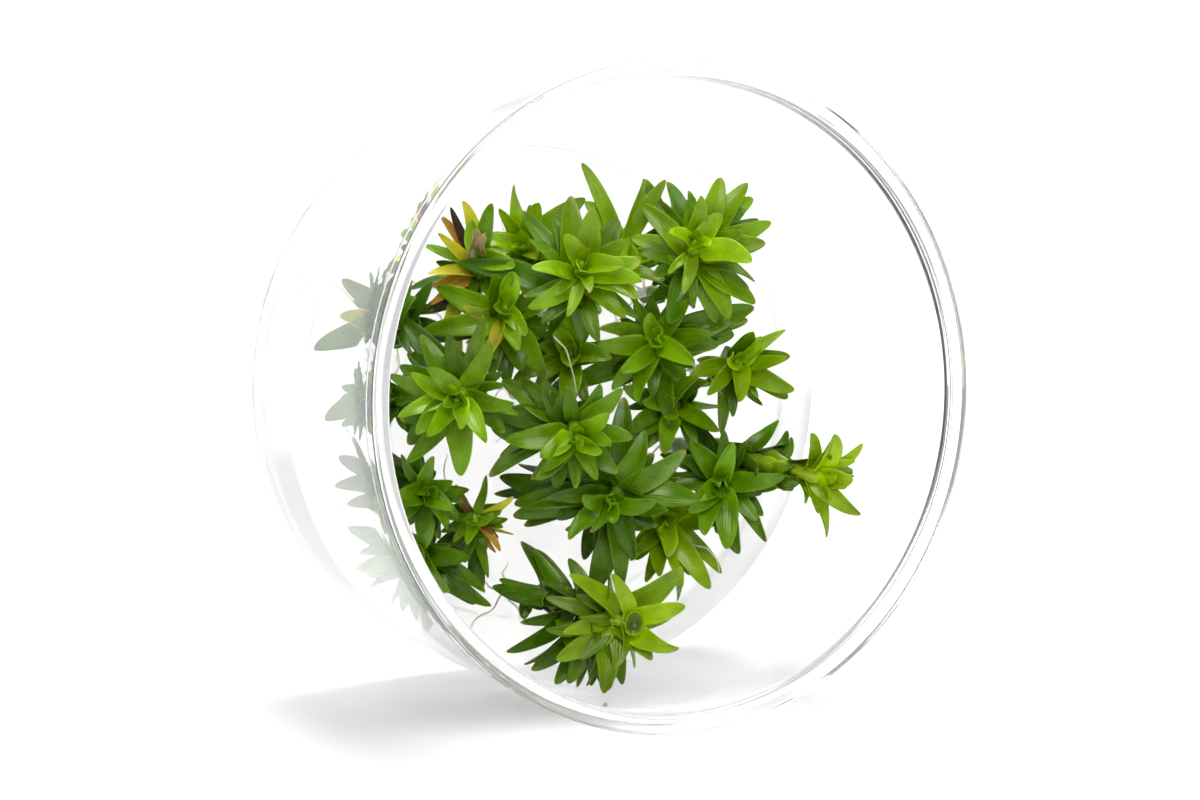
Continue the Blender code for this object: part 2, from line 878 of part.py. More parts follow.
def place_leaves(routes):
    """Gives each shoot its leaves in turn, each at the first nudge that has room, or none."""
    taken = [taken_by_stem(shoot, routes[shoot.name]) for shoot in SHOOTS]
    for shoot in SHOOTS:
        for measured in shoot.leaves:
            choices = (seen_leaf(shoot, routes[shoot.name], measured, n) for n in NUDGES)
            keep_first(shoot, choices, taken)
    for number in range(max(shoot.spiral for shoot in SHOOTS)):
        for shoot in SHOOTS:
            if number < shoot.spiral:
                route = routes[shoot.name]
                choices = (spiral_leaf(shoot, route, number, n) for n in NUDGES)
                keep_first(shoot, choices, taken)


def keep_first(shoot, choices, taken):
    """Keeps the first choice that has room."""
    for leaf in choices:
        if has_room(shoot.name, leaf, taken):
            taken.append(taken_by_leaf(shoot.name, leaf))
            shoot.placed.append(leaf)
            return


def make_stem(shoot, route, collection, finish):
    """The stem as a tube that narrows to the bud, made a mesh with its ends welded."""
    curve = bpy.data.curves.new(shoot.name + "_stem", "CURVE")
    curve.dimensions = "3D"
    curve.bevel_depth = STEM_RADIUS * MM
    curve.bevel_resolution = 1
    curve.use_fill_caps = True
    along = (route[-1] - route[-2]).normalized()
    spline = curve.splines.new("POLY")
    spline.points.add(len(route))
    for i, place in enumerate([*route, route[-1] + along * BUD_LENGTH]):
        spline.points[i].co = (*(place * MM), 1.0)
        spline.points[i].radius = shoot.thickness
    spline.points[-1].radius = BUD_TIP_RADIUS
    tube = bpy.data.objects.new(curve.name, curve)
    bpy.context.scene.collection.objects.link(tube)
    bpy.context.view_layer.update()
    depsgraph = bpy.context.evaluated_depsgraph_get()
    mesh = bpy.data.meshes.new_from_object(tube.evaluated_get(depsgraph))
    bpy.data.objects.remove(tube)
    shell = bmesh.new()
    shell.from_mesh(mesh)
    bmesh.ops.remove_doubles(shell, verts=shell.verts, dist=0.00001)
    bmesh.ops.recalc_face_normals(shell, faces=shell.faces)
    shell.to_mesh(mesh)
    shell.free()
    mesh.shade_smooth()
    mesh.set_sharp_from_angle(angle=radians(SHARP_ANGLE))
    mesh.materials.clear()
    return add_object(shoot.name, mesh, collection, finish)


def make_shoot(shoot, route, collection, cutters):
    """One shoot: its stem, with all its leaves joined to it."""
    finish = material(shoot.name + "_green", shoot.colour, 0.35)
    stem = make_stem(shoot, route, collection, finish)
    points, faces = [], []
    for leaf in shoot.placed:
        leaf_points, leaf_faces = leaf.body()
        faces += [tuple(i + len(points) for i in face) for face in leaf_faces]
        points += leaf_points
    mesh = mesh_from(shoot.name + "_leaves", points, faces)
    leaves = as_cutter(add_object(mesh.name, mesh, cutters))
    join = stem.modifiers.new("leaves", "BOOLEAN")
    join.operation = "UNION"
    join.use_self = True
    join.object = leaves
    return stem


def main():
    """Clears the scene and makes the cup, the gel and the shoots."""
    for old in list(bpy.data.objects):
        bpy.data.objects.remove(old)
    collection = bpy.data.collections.new("tissue_culture_tonina")
    cutters = bpy.data.collections.new("cutters")
    for group in (collection, cutters):
        bpy.context.scene.collection.children.link(group)
    make_cup(collection)
    make_gel(collection, cutters)
    routes = {shoot.name: stem_points(shoot) for shoot in SHOOTS}
    place_leaves(routes)
    for shoot in SHOOTS:
        make_shoot(shoot, routes[shoot.name], collection, cutters)


main()
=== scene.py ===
"""Looks of a tissue-culture Tonina fluviatilis in its clear plastic cup, which lies on its side with no lid.

Lengths are in millimetres until a mesh is filled, and angles that are written down are in degrees. A place
inside the cup is given as (across, up, out) from the middle of the gel's surface: across to the right and up
the disc as one looks into the mouth, and out from the gel towards the mouth. The leaves repeat the places of
the solids: each one is given by the way that its tip lies from the top of its shoot, in the plane of the
picture, as a compass angle and a reach.
"""

from __future__ import annotations

import logging
import math
from collections.abc import Sequence
from dataclasses import dataclass, field
from enum import Enum

import bpy
import numpy as np
from mathutils import Matrix, Vector

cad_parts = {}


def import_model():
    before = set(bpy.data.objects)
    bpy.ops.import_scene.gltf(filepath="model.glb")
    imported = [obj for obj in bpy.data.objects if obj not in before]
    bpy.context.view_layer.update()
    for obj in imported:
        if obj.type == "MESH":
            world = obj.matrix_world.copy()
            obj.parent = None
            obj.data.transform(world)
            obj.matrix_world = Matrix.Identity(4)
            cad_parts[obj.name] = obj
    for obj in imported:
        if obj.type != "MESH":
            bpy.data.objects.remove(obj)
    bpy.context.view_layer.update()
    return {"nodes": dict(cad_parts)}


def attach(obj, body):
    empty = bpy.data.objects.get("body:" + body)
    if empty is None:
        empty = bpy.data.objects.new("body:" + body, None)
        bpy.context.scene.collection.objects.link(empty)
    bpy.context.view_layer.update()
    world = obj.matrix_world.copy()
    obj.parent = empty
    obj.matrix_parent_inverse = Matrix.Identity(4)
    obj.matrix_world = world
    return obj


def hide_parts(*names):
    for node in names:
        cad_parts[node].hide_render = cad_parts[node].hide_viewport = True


LOG = logging.getLogger("tonina_cup")
MM = 0.001
TINY = 1e-9

# The angle between a leaf and the next one up the stem.
GOLDEN_ANGLE = math.radians(137.5)
# The camera's turn and tilt against the mouth, and its distance from it.
VIEW_TURN = math.radians(28.9)
VIEW_DOWN = math.radians(7.4)
VIEW_DISTANCE = 469.9
# What is added to a shoot's seed for its bud, its clasping leaves and its roots.
BUD_SEED, CLASP_SEED, ROOT_SEED = 100, 200, 300
# A direction that no stem or root follows, across which round tubes take their sides.
SLANT = np.array([0.3, 0.2, 0.9])


def unit(rows: np.ndarray) -> np.ndarray:
    """Vectors at length one.

    Args:
        rows: an array whose last axis holds x, y and z.

    Returns:
        The same array with each vector divided by its length.
    """
    return rows / np.maximum(np.linalg.norm(rows, axis=-1, keepdims=True), TINY)


def smooth(low: float, high: float, values: np.ndarray) -> np.ndarray:
    """An S-shaped step: 3x^2 - 2x^3 of the share of the way from low to high.

    Args:
        low: where the step starts.
        high: where it ends.
        values: the places at which to read it.

    Returns:
        Shares from 0 to 1.
    """
    share = np.clip((values - low) / (high - low), 0.0, 1.0)
    return share * share * (3.0 - 2.0 * share)


def curve(start: np.ndarray, bend: np.ndarray, end: np.ndarray, t: np.ndarray | float) -> np.ndarray:
    """A quadratic curve: start (1-t)^2 + bend 2t(1-t) + end t^2.

    Args:
        start: where it starts.
        bend: the control point that it bends towards.
        end: where it ends.
        t: the shares of the way at which to read it.

    Returns:
        Places along the curve.
    """
    return start * (1 - t) ** 2 + bend * 2 * t * (1 - t) + end * t**2


def turned_aside(along: np.ndarray, angle: float) -> np.ndarray:
    """A unit vector that lies across a direction, turned about it.

    Args:
        along: the direction.
        angle: how far it is turned.

    Returns:
        The vector.
    """
    turn = Matrix.Rotation(angle, 3, Vector(along))
    return np.array(turn @ Vector(along).orthogonal().normalized())


def tube_rings(paths: np.ndarray, radii: np.ndarray, around: int) -> np.ndarray:
    """Round tubes along paths: a ring is its point plus radius times (side cos a + over sin a).

    side lies across the path and one slanting direction, and over lies across both.

    Args:
        paths: points as (tube, ring, xyz).
        radii: each ring's radius as (tube, ring).
        around: how many steps go round.

    Returns:
        Places as (tube, ring, step round, xyz).
    """
    way = unit(np.gradient(paths, axis=1))
    side = unit(np.cross(way, SLANT))
    over = np.cross(way, side)
    angle = 2.0 * math.pi * np.arange(around) / around
    spoke = side[:, :, None] * np.cos(angle)[:, None] + over[:, :, None] * np.sin(angle)[:, None]
    return paths[:, :, None] + spoke * radii[..., None, None]


@dataclass(frozen=True)
class CupAxes:
    """Where the cup lies: its lean, and its own three axes in the world.

    The cup leans until its rim and the foot of its wall both touch the floor.
    """

    rim: float = 50.0
    wall_foot: float = 46.6
    height: float = 58.0
    rim_depth: float = 3.0
    corner: float = 2.5
    foot: float = 38.0
    gel_top: float = 17.0
    facets: int = 32
    leaf_gap: float = 0.8
    leaf_room: float = 45.3
    room_slope: float = 0.036
    root_depth: float = 13.0
    root_cover: float = 0.6
    root_room: float = 42.0

    @property
    def apothem(self) -> float:
        """The share of the radius at which the solid's flat facets lie."""
        return math.cos(math.pi / self.facets)

    @property
    def lean(self) -> float:
        """The angle by which the mouth's end is raised."""
        fall = (self.rim - self.wall_foot) * self.apothem
        return math.atan2(fall, self.height - self.rim_depth - self.corner)

    @property
    def axis(self) -> np.ndarray:
        """The way from the base to the mouth."""
        return np.array([0.0, -math.cos(self.lean), math.sin(self.lean)])

    @property
    def across(self) -> np.ndarray:
        """The way to the right, as one looks into the mouth."""
        return np.array([1.0, 0.0, 0.0])

    @property
    def up_disc(self) -> np.ndarray:
        """The way up, in the plane of the mouth."""
        return np.cross(self.axis, self.across)

    @property
    def mouth(self) -> np.ndarray:
        """The middle of the mouth, over an origin under the middle of the object."""
        middle = self.height * math.cos(self.lean)
        middle += (self.foot - self.rim) * self.apothem * math.sin(self.lean)
        level = self.rim * self.apothem * math.cos(self.lean)
        level += self.rim_depth * math.sin(self.lean)
        return np.array([0.0, -middle / 2, level])

    @property
    def base(self) -> np.ndarray:
        """The middle of the base."""
        return self.mouth - self.axis * self.height

    @property
    def gel_face(self) -> np.ndarray:
        """The middle of the gel's surface."""
        return self.base + self.axis * self.gel_top

    def inside(self, across: float, up: float, out: float) -> np.ndarray:
        """The world place of a point given from the middle of the gel's surface.

        Args:
            across: how far to the right.
            up: how far up the disc.
            out: how far towards the mouth.

        Returns:
            The place.
        """
        return self.gel_face + self.across * across + self.up_disc * up + self.axis * out

    def out_of(self, points: np.ndarray) -> np.ndarray:
        """How far places stand out from the gel."""
        return (points - self.gel_face) @ self.axis

    def moved_in(self, point: np.ndarray, level: float, room: float) -> np.ndarray:
        """A place moved along the axis to a level, and then in to within a distance of the axis.

        Args:
            point: the place.
            level: how far out of the gel it comes to lie.
            room: the most distance from the axis.

        Returns:
            The new place.
        """
        point = point + self.axis * (level - float(self.out_of(point)))
        spoke = point - self.gel_face
        spoke = spoke - self.axis * (spoke @ self.axis)
        far = float(np.linalg.norm(spoke))
        return point - spoke * (max(far - room, 0.0) / max(far, TINY))

    def kept_in(self, point: np.ndarray) -> np.ndarray:
        """A leaf's place pulled clear of the wall and the gel.

        Args:
            point: the place.

        Returns:
            The same place, or the nearest one with room round it.
        """
        level = max(float(self.out_of(point)), self.leaf_gap)
        return self.moved_in(point, level, self.leaf_room + self.room_slope * level)

    def kept_in_gel(self, point: np.ndarray) -> np.ndarray:
        """A root's place pulled into the gel, clear of the wall, the floor and the gel's surface.

        Args:
            point: the place.

        Returns:
            The same place, or the nearest one inside.
        """
        level = min(max(float(self.out_of(point)), -self.root_depth), -self.root_cover)
        return self.moved_in(point, level, self.root_room)

    def turned(self, radii: np.ndarray, heights: np.ndarray, around: int) -> np.ndarray:
        """A profile turned round the cup's axis: radius times (cos a, sin a) at each height.

        Args:
            radii: the profile's distances from the axis.
            heights: its distances from the base, along the axis.
            around: how many steps go round.

        Returns:
            Places as an array of (profile point, step, xyz).
        """
        angle = 2.0 * math.pi * np.arange(around) / around
        spoke = np.cos(angle)[:, None] * self.across + np.sin(angle)[:, None] * self.up_disc
        ring = radii[:, None, None] * self.apothem * spoke
        return self.base + ring + heights[:, None, None] * self.axis


AXES = CupAxes()
LOOK = np.array(
    [
        math.sin(VIEW_TURN) * math.cos(VIEW_DOWN),
        math.cos(VIEW_TURN) * math.cos(VIEW_DOWN),
        -math.sin(VIEW_DOWN),
    ]
)
RIGHT = np.array([math.cos(VIEW_TURN), -math.sin(VIEW_TURN), 0.0])
UPWARD = np.cross(RIGHT, LOOK)
TOWARD = -LOOK

# The round gaps seen in the clump: (right, up, radius) from the middle of the mouth, in the picture's plane.
OPENINGS = (
    (-33.7, -9.1, 2.4), (-22.0, -20.8, 2.8), (-7.8, -25.2, 1.2), (4.4, -1.0, 1.6), (-6.6, 2.0, 1.5),
    (-11.0, 11.8, 1.1), (-14.7, 5.6, 1.2), (-18.3, 9.7, 1.1), (-7.3, -4.9, 1.2), (-21.3, -13.5, 1.4),
    (-30.0, 27.0, 2.0), (7.4, 13.7, 1.1), (-12.5, -21.5, 1.0),
)


def leaves_open(spine: np.ndarray) -> bool:
    """Whether a leaf's spine passes beside every gap that is seen in the clump.

    Args:
        spine: places along the leaf.

    Returns:
        True when none of them is in front of or behind a gap.
    """
    apart = spine - AXES.mouth
    nearer = VIEW_DISTANCE / (VIEW_DISTANCE + apart @ LOOK)
    seen = np.stack([apart @ RIGHT * nearer, apart @ UPWARD * nearer], axis=-1)
    gaps = np.array(OPENINGS)
    away = np.linalg.norm(seen[:, None] - gaps[None, :, :2], axis=-1)
    return bool((away > gaps[None, :, 2]).all())


class MeshParts:
    """Gathers grids of points, and fills one mesh with them."""

    def __init__(self) -> None:
        """Starts with no points."""
        self.points: list[np.ndarray] = []
        self.quads: list[np.ndarray] = []
        self.triangles: list[np.ndarray] = []
        self.uvs: list[np.ndarray] = []
        self.colours: list[np.ndarray] = []
        self.count = 0

    def add_tubes(self, rings: np.ndarray, ends: np.ndarray, uvs: np.ndarray, colours: np.ndarray) -> None:
        """Adds closed tubes, each a grid of rings with a point that closes either end.

        Args:
            rings: places as (tube, ring, step round, xyz).
            ends: the closing points as (tube, 2, xyz).
            uvs: the rings' pattern places as (tube, ring, step round, 2).
            colours: the rings' colours as (tube, ring, step round, 4).
        """
        tubes, many, around, _ = rings.shape
        each = many * around + 2
        grid = np.arange(many * around).reshape(many, around)
        beside = np.roll(grid, -1, axis=1)
        quads = np.stack([grid[:-1], beside[:-1], beside[1:], grid[1:]], axis=-1).reshape(-1, 4)
        first = np.stack([beside[0], grid[0], np.full(around, many * around)], axis=-1)
        last = np.stack([grid[-1], beside[-1], np.full(around, many * around + 1)], axis=-1)
        caps = np.concatenate([first, last])
        shift = (self.count + each * np.arange(tubes))[:, None, None]
        self.quads.append((quads[None] + shift).reshape(-1, 4))
        self.triangles.append((caps[None] + shift).reshape(-1, 3))
        self.points.append(np.concatenate([rings.reshape(tubes, -1, 3), ends], axis=1).reshape(-1, 3))
        end_uvs = uvs[:, [0, -1]].mean(axis=2)
        self.uvs.append(np.concatenate([uvs.reshape(tubes, -1, 2), end_uvs], axis=1).reshape(-1, 2))
        end_colours = colours[:, [0, -1]].mean(axis=2)
        flat = colours.reshape(tubes, -1, 4)
        self.colours.append(np.concatenate([flat, end_colours], axis=1).reshape(-1, 4))
        self.count += each * tubes

    def fill(self, name: str) -> bpy.types.Mesh:
        """Fills a smooth mesh, with a map named "leaf" and a colour attribute named "tone".

        Args:
            name: the mesh's name.

        Returns:
            The mesh, in metres.
        """
        points = np.concatenate(self.points) * MM
        quads, triangles = np.concatenate(self.quads), np.concatenate(self.triangles)
        loops = np.concatenate([quads.ravel(), triangles.ravel()])
        starts = np.concatenate(
            [np.arange(len(quads)) * 4, len(quads) * 4 + np.arange(len(triangles)) * 3]
        )
        mesh = bpy.data.meshes.new(name)
        mesh.vertices.add(len(points))
        mesh.vertices.foreach_set("co", points.ravel())
        mesh.loops.add(len(loops))
        mesh.loops.foreach_set("vertex_index", loops.astype(np.int32))
        mesh.polygons.add(len(starts))
        mesh.polygons.foreach_set("loop_start", starts.astype(np.int32))
        mesh.update(calc_edges=True)
        chart = mesh.uv_layers.new(name="leaf")
        chart.data.foreach_set("uv", np.concatenate(self.uvs)[loops].ravel())
        tone = mesh.attributes.new("tone", "FLOAT_COLOR", "POINT")
        tone.data.foreach_set("color", np.concatenate(self.colours).ravel())
        mesh.validate()
        mesh.shade_smooth()
        return mesh


def new_piece(name: str, mesh: bpy.types.Mesh, *finishes: bpy.types.Material) -> bpy.types.Object:
    """Puts a mesh in the scene as an object.

    Args:
        name: the object's name.
        mesh: its mesh.
        finishes: its materials, in the order of their slots.

    Returns:
        The object.
    """
    piece = bpy.data.objects.new(name, mesh)
    bpy.context.scene.collection.objects.link(piece)
    for finish in finishes:
        mesh.materials.append(finish)
    return piece


class Tone(Enum):
    """The colour of a leaf's blade when it is young and when it is grown, as linear red, green and blue."""

    BRIGHT = ((0.34, 0.52, 0.001), (0.068, 0.18, 0.001))
    GREEN = ((0.30, 0.50, 0.001), (0.065, 0.18, 0.001))
    MID = ((0.22, 0.42, 0.001), (0.055, 0.15, 0.001))
    DARK = ((0.15, 0.33, 0.001), (0.040, 0.115, 0.001))
    WALL = ((0.12, 0.26, 0.01), (0.05, 0.15, 0.008))
    YELLOW = ((0.62, 0.60, 0.03), (0.42, 0.44, 0.02))
    ORANGE = ((0.70, 0.40, 0.03), (0.48, 0.28, 0.03))
    BROWN = ((0.24, 0.13, 0.03), (0.15, 0.08, 0.03))
    PURPLE = ((0.09, 0.035, 0.045), (0.05, 0.025, 0.03))
    PALE = ((0.60, 0.50, 0.28), (0.52, 0.42, 0.24))


@dataclass
class Leaf:
    """One leaf: where it leaves the stem, its tip, and how it is held."""

    start: np.ndarray
    tip: np.ndarray
    along: np.ndarray
    facing: np.ndarray
    half: float
    age: float
    tone: Tone
    fold: float = 0.42
    bow: float = 0.16
    sheath: float = 0.80
    bend_share: float = 0.45

    @property
    def bend(self) -> np.ndarray:
        """The middle control point of the leaf's spine."""
        reach = self.tip - self.start
        return self.start + reach * self.bend_share + self.along * (self.bow * np.linalg.norm(reach))

    @property
    def spine(self) -> np.ndarray:
        """Places along the leaf's curve."""
        return curve(self.start, self.bend, self.tip, np.linspace(0.0, 1.0, 9)[:, None])


@dataclass(frozen=True)
class LeafColours:
    """How a blade's colour runs: paler at a young base, darker at an old one by painted shade, and dry at
    some tips.
    """

    tip_age: float = 0.25
    ripe_run: float = 0.6
    age_shift: float = 0.12
    shades: tuple[float, float] = (0.78, 1.22)
    base_lift_and_painted_shade: tuple[float, float] = (-0.60, 0.25)
    lift_fall: float = 1.1
    lift_run: float = 0.5
    edge_start: float = 0.7
    edge_light: float = 0.10
    dry_start: float = 0.92
    dry_share: float = 0.3
    dry_strength: float = 0.7
    straw: tuple[float, float, float] = (0.42, 0.34, 0.03)
    least_vein: float = 0.25
    vein_rise: float = 1.1

    def paint(
        self, leaves: list[Leaf], age: np.ndarray, run: np.ndarray, x: np.ndarray, random: np.random.Generator
    ) -> np.ndarray:
        """The blades' colours.

        The tone goes from young to grown with the leaf's age and the way to its tip. It is then lifted near a
        young base and dimmed near an old one, the dimming being painted shade, lightened a little at the
        edges, and blended to straw at a dry tip.

        Args:
            leaves: the leaves.
            age: each leaf's age, from 0 to 1.
            run: how far each ring is along the blade, from 0 to 1.
            x: how far across the blade each step is, from -1 to 1.
            random: picks each leaf's own shade.

        Returns:
            Colours as (leaf, ring, step, 4), the last of them being how strongly the veins show.
        """
        many = len(leaves)
        young, grown = (np.array([leaf.tone.value[k] for leaf in leaves]) for k in (0, 1))
        ripe = self.tip_age * smooth(0.0, self.ripe_run, run)[None]
        share = np.clip(age[:, None] + ripe - self.age_shift, 0.0, 1.0)
        colour = young[:, None] * (1 - share[..., None]) + grown[:, None] * share[..., None]
        colour = colour * random.uniform(*self.shades, (many, 1, 1))
        # painted shade: the base of an old leaf is dimmed, where shade falls inside the rosette; a young
        # one's base is lifted
        lift = np.clip(self.base_lift_and_painted_shade[1] - self.lift_fall * age, *self.base_lift_and_painted_shade)
        colour = colour * (1.0 + lift[:, None] * (1 - smooth(0.0, self.lift_run, run)))[..., None]
        edge = 1.0 + self.edge_light * smooth(self.edge_start, 1.0, np.abs(x))
        made = np.ones((many, len(run), len(x), 4))
        made[..., :3] = colour[:, :, None] * edge[:, None]
        dried = (random.random(many) < self.dry_share)[:, None]
        dry = smooth(self.dry_start, 1.0, run)[None] * dried * self.dry_strength
        straw = np.array(self.straw)
        made[..., :3] = made[..., :3] * (1 - dry[..., None, None]) + straw * dry[..., None, None]
        vein = np.clip(self.least_vein + self.vein_rise * age, self.least_vein, 1.0)
        made[..., 3] = vein[:, None, None]
        return np.clip(made, 0.0, 1.0)


@dataclass
class LeafShape:
    """How every blade is formed from its spine."""

    rings: int = 22
    around: int = 16
    crowding: float = 1.25
    last_ring: float = 0.995
    thick: float = 0.22
    edge: float = 0.05
    thinnest: float = 0.35
    keel: float = 0.10
    groove: float = 0.06
    groove_width: float = 0.16
    fold_power: float = 1.35
    unfold: float = 0.45
    unfold_run: tuple[float, float] = (0.1, 0.7)
    widest: tuple[float, float] = (0.30, 0.50)
    blunt: tuple[float, float] = (1.75, 2.45)
    neck: float = 0.5
    neck_run: float = 0.14
    taper: float = 0.20
    ripple: float = 0.05
    ripples: float = 9.0
    ripple_shift: float = 1.7
    breadth: float = 1.16
    swerve: float = 0.14
    arch: float = 0.08
    roll: float = 0.30
    twist: float = 0.45
    least_side: float = 0.05
    spread: tuple[float, float] = (0.84, 1.14)
    pattern_shifts: int = 40
    colours: LeafColours = LeafColours()

    def widths(self, run: np.ndarray, sheath: np.ndarray, random: np.random.Generator) -> np.ndarray:
        """Half widths along the blades, as a share of the widest.

        Up to the widest place: 1 - (1 - sheath) times the square of what is left of the way there, narrowed
        by neck where it leaves the stem. Past it: the square root of 1 less the share of the way to the tip
        raised to the power blunt, narrowed by taper.

        Args:
            run: how far along the blade each ring is.
            sheath: each blade's width at its base.
            random: picks each blade's widest place and how blunt its tip is.

        Returns:
            Shares as (leaf, ring).
        """
        widest = random.uniform(*self.widest, (len(sheath), 1))
        blunt = random.uniform(*self.blunt, (len(sheath), 1))
        before = 1.0 - (1.0 - sheath[:, None]) * np.clip(1.0 - run / widest, 0.0, 1.0) ** 2
        before = before * (self.neck + (1.0 - self.neck) * smooth(0.0, self.neck_run, run))
        past = np.clip((run - widest) / (1.0 - widest), 0.0, 1.0)
        after = np.sqrt(np.clip(1.0 - past**blunt, 0.0, 1.0)) * (1.0 - self.taper * past)
        return before * np.where(run > widest, after, 1.0)

    def frames(
        self, leaves: list[Leaf], run: np.ndarray, random: np.random.Generator
    ) -> tuple[np.ndarray, np.ndarray, np.ndarray]:
        """The blades' spines, and the ways across and over them.

        A spine's bend is moved across the blade and along the stem by a random share of the blade's length.
        The ways across and over it are turned about the spine by roll plus twist times the way along it.

        Args:
            leaves: the leaves.
            run: how far along the blade each ring is.
            random: picks how each blade is bent and turned.

        Returns:
            The spines, the ways across and the ways over, each as (leaf, ring, xyz).
        """
        start, bend, tip, facing, along = (
            np.array([getattr(leaf, key) for leaf in leaves])[:, None]
            for key in ("start", "bend", "tip", "facing", "along")
        )
        each = (len(leaves), 1, 1)
        way = tip - start
        length = np.linalg.norm(way, axis=-1, keepdims=True)
        across = unit(np.cross(way, facing)) * length
        bend = bend + across * random.uniform(-self.swerve, self.swerve, each)
        bend = bend + along * length * random.uniform(-self.arch, self.arch, each)
        t = run[None, :, None]
        way = unit((bend - start) * (1 - t) + (tip - bend) * t)
        side = np.cross(way, facing)
        poor = np.linalg.norm(side, axis=-1, keepdims=True) < self.least_side
        side = unit(np.where(poor, np.cross(way, UPWARD), side))
        over = unit(np.cross(side, way))
        turn = self.roll * random.normal(size=each)
        turn = turn + self.twist * random.normal(size=each) * t
        turned_side = side * np.cos(turn) + over * np.sin(turn)
        turned_over = over * np.cos(turn) - side * np.sin(turn)
        return curve(start, bend, tip, t), turned_side, turned_over

    def add(self, parts: MeshParts, leaves: list[Leaf], seed: int) -> None:
        """Adds the blades of many leaves at once.

        Round each ring x goes as the cosine of the step and the two faces as its sine. A ring's height over
        the spine is a fold, half width times fold times |x| to the power fold_power, less a groove near the
        middle, with half the thickness above and below.

        Args:
            parts: what the blades are added to.
            leaves: the leaves.
            seed: picks the small differences between them.
        """
        random = np.random.default_rng(seed)
        each = (len(leaves), 1, 1)
        run = 1.0 - (1.0 - np.linspace(0.0, 1.0, self.rings)) ** self.crowding
        run[-1] = self.last_ring
        spine, side, over = self.frames(leaves, run, random)
        half, age, fold, sheath = (
            np.array([getattr(leaf, key) for leaf in leaves]) for key in ("half", "age", "fold", "sheath")
        )
        half = half * random.uniform(*self.spread, len(leaves))
        step = -2.0 * math.pi * np.arange(self.around) / self.around
        x = np.cos(step)
        wide = self.widths(run, sheath, random) * half[:, None] * self.breadth
        phase = random.uniform(0.0, 2.0 * math.pi, each)
        ripples = run[None, :, None] * self.ripples + phase + np.sign(x) * self.ripple_shift
        lateral = wide[:, :, None] * x * (1.0 + self.ripple * np.sin(ripples))
        body = self.thick * np.sqrt(np.clip(1.0 - x * x, 0.0, 1.0)) + self.edge
        fullness = self.thinnest + (1.0 - self.thinnest) * np.minimum(wide / half[:, None], 1.0)
        body = body * fullness[:, :, None]
        folded = fold[:, None] * (1.0 - self.unfold * smooth(*self.unfold_run, run))[None]
        rise = wide[:, :, None] * folded[:, :, None] * np.abs(x) ** self.fold_power
        middle = np.exp(-((x / self.groove_width) ** 2))
        top = np.sin(step) > 0
        lift = rise + np.where(top, body / 2 - self.groove * middle, -body / 2 - self.keel * middle)
        lift = np.where(np.abs(np.sin(step)) < 1e-6, rise, lift)
        rings = spine[:, :, None] + side[:, :, None] * lateral[..., None] + over[:, :, None] * lift[..., None]
        ends = np.stack([spine[:, 0], np.array([leaf.tip for leaf in leaves])], axis=1)
        uvs = np.empty((*lateral.shape, 2))
        uvs[..., 0] = x / 2 + 0.5 + random.uniform(0, self.pattern_shifts, each).round()
        uvs[..., 1] = run[None, :, None] + random.uniform(0, self.pattern_shifts, each).round()
        parts.add_tubes(rings, ends, uvs, self.colours.paint(leaves, age, run, x, random))


# The moves that a leaf of the solids may have made to clear its neighbours: towards the view, turn, factor.
NUDGES = (
    (0.0, 0, 1.0), (1.5, 0, 1.0), (-1.5, 0, 1.0), (3.0, 0, 1.0), (-3.0, 0, 1.0), (0.0, 5, 1.0),
    (0.0, -5, 1.0), (4.5, 0, 1.0), (-4.5, 0, 1.0), (2.0, 9, 0.97), (-2.0, -9, 0.97), (6.0, 0, 0.94),
    (-6.0, 0, 0.94), (0.0, 0, 0.8), (3.0, 12, 0.85), (-3.0, -12, 0.85),
)


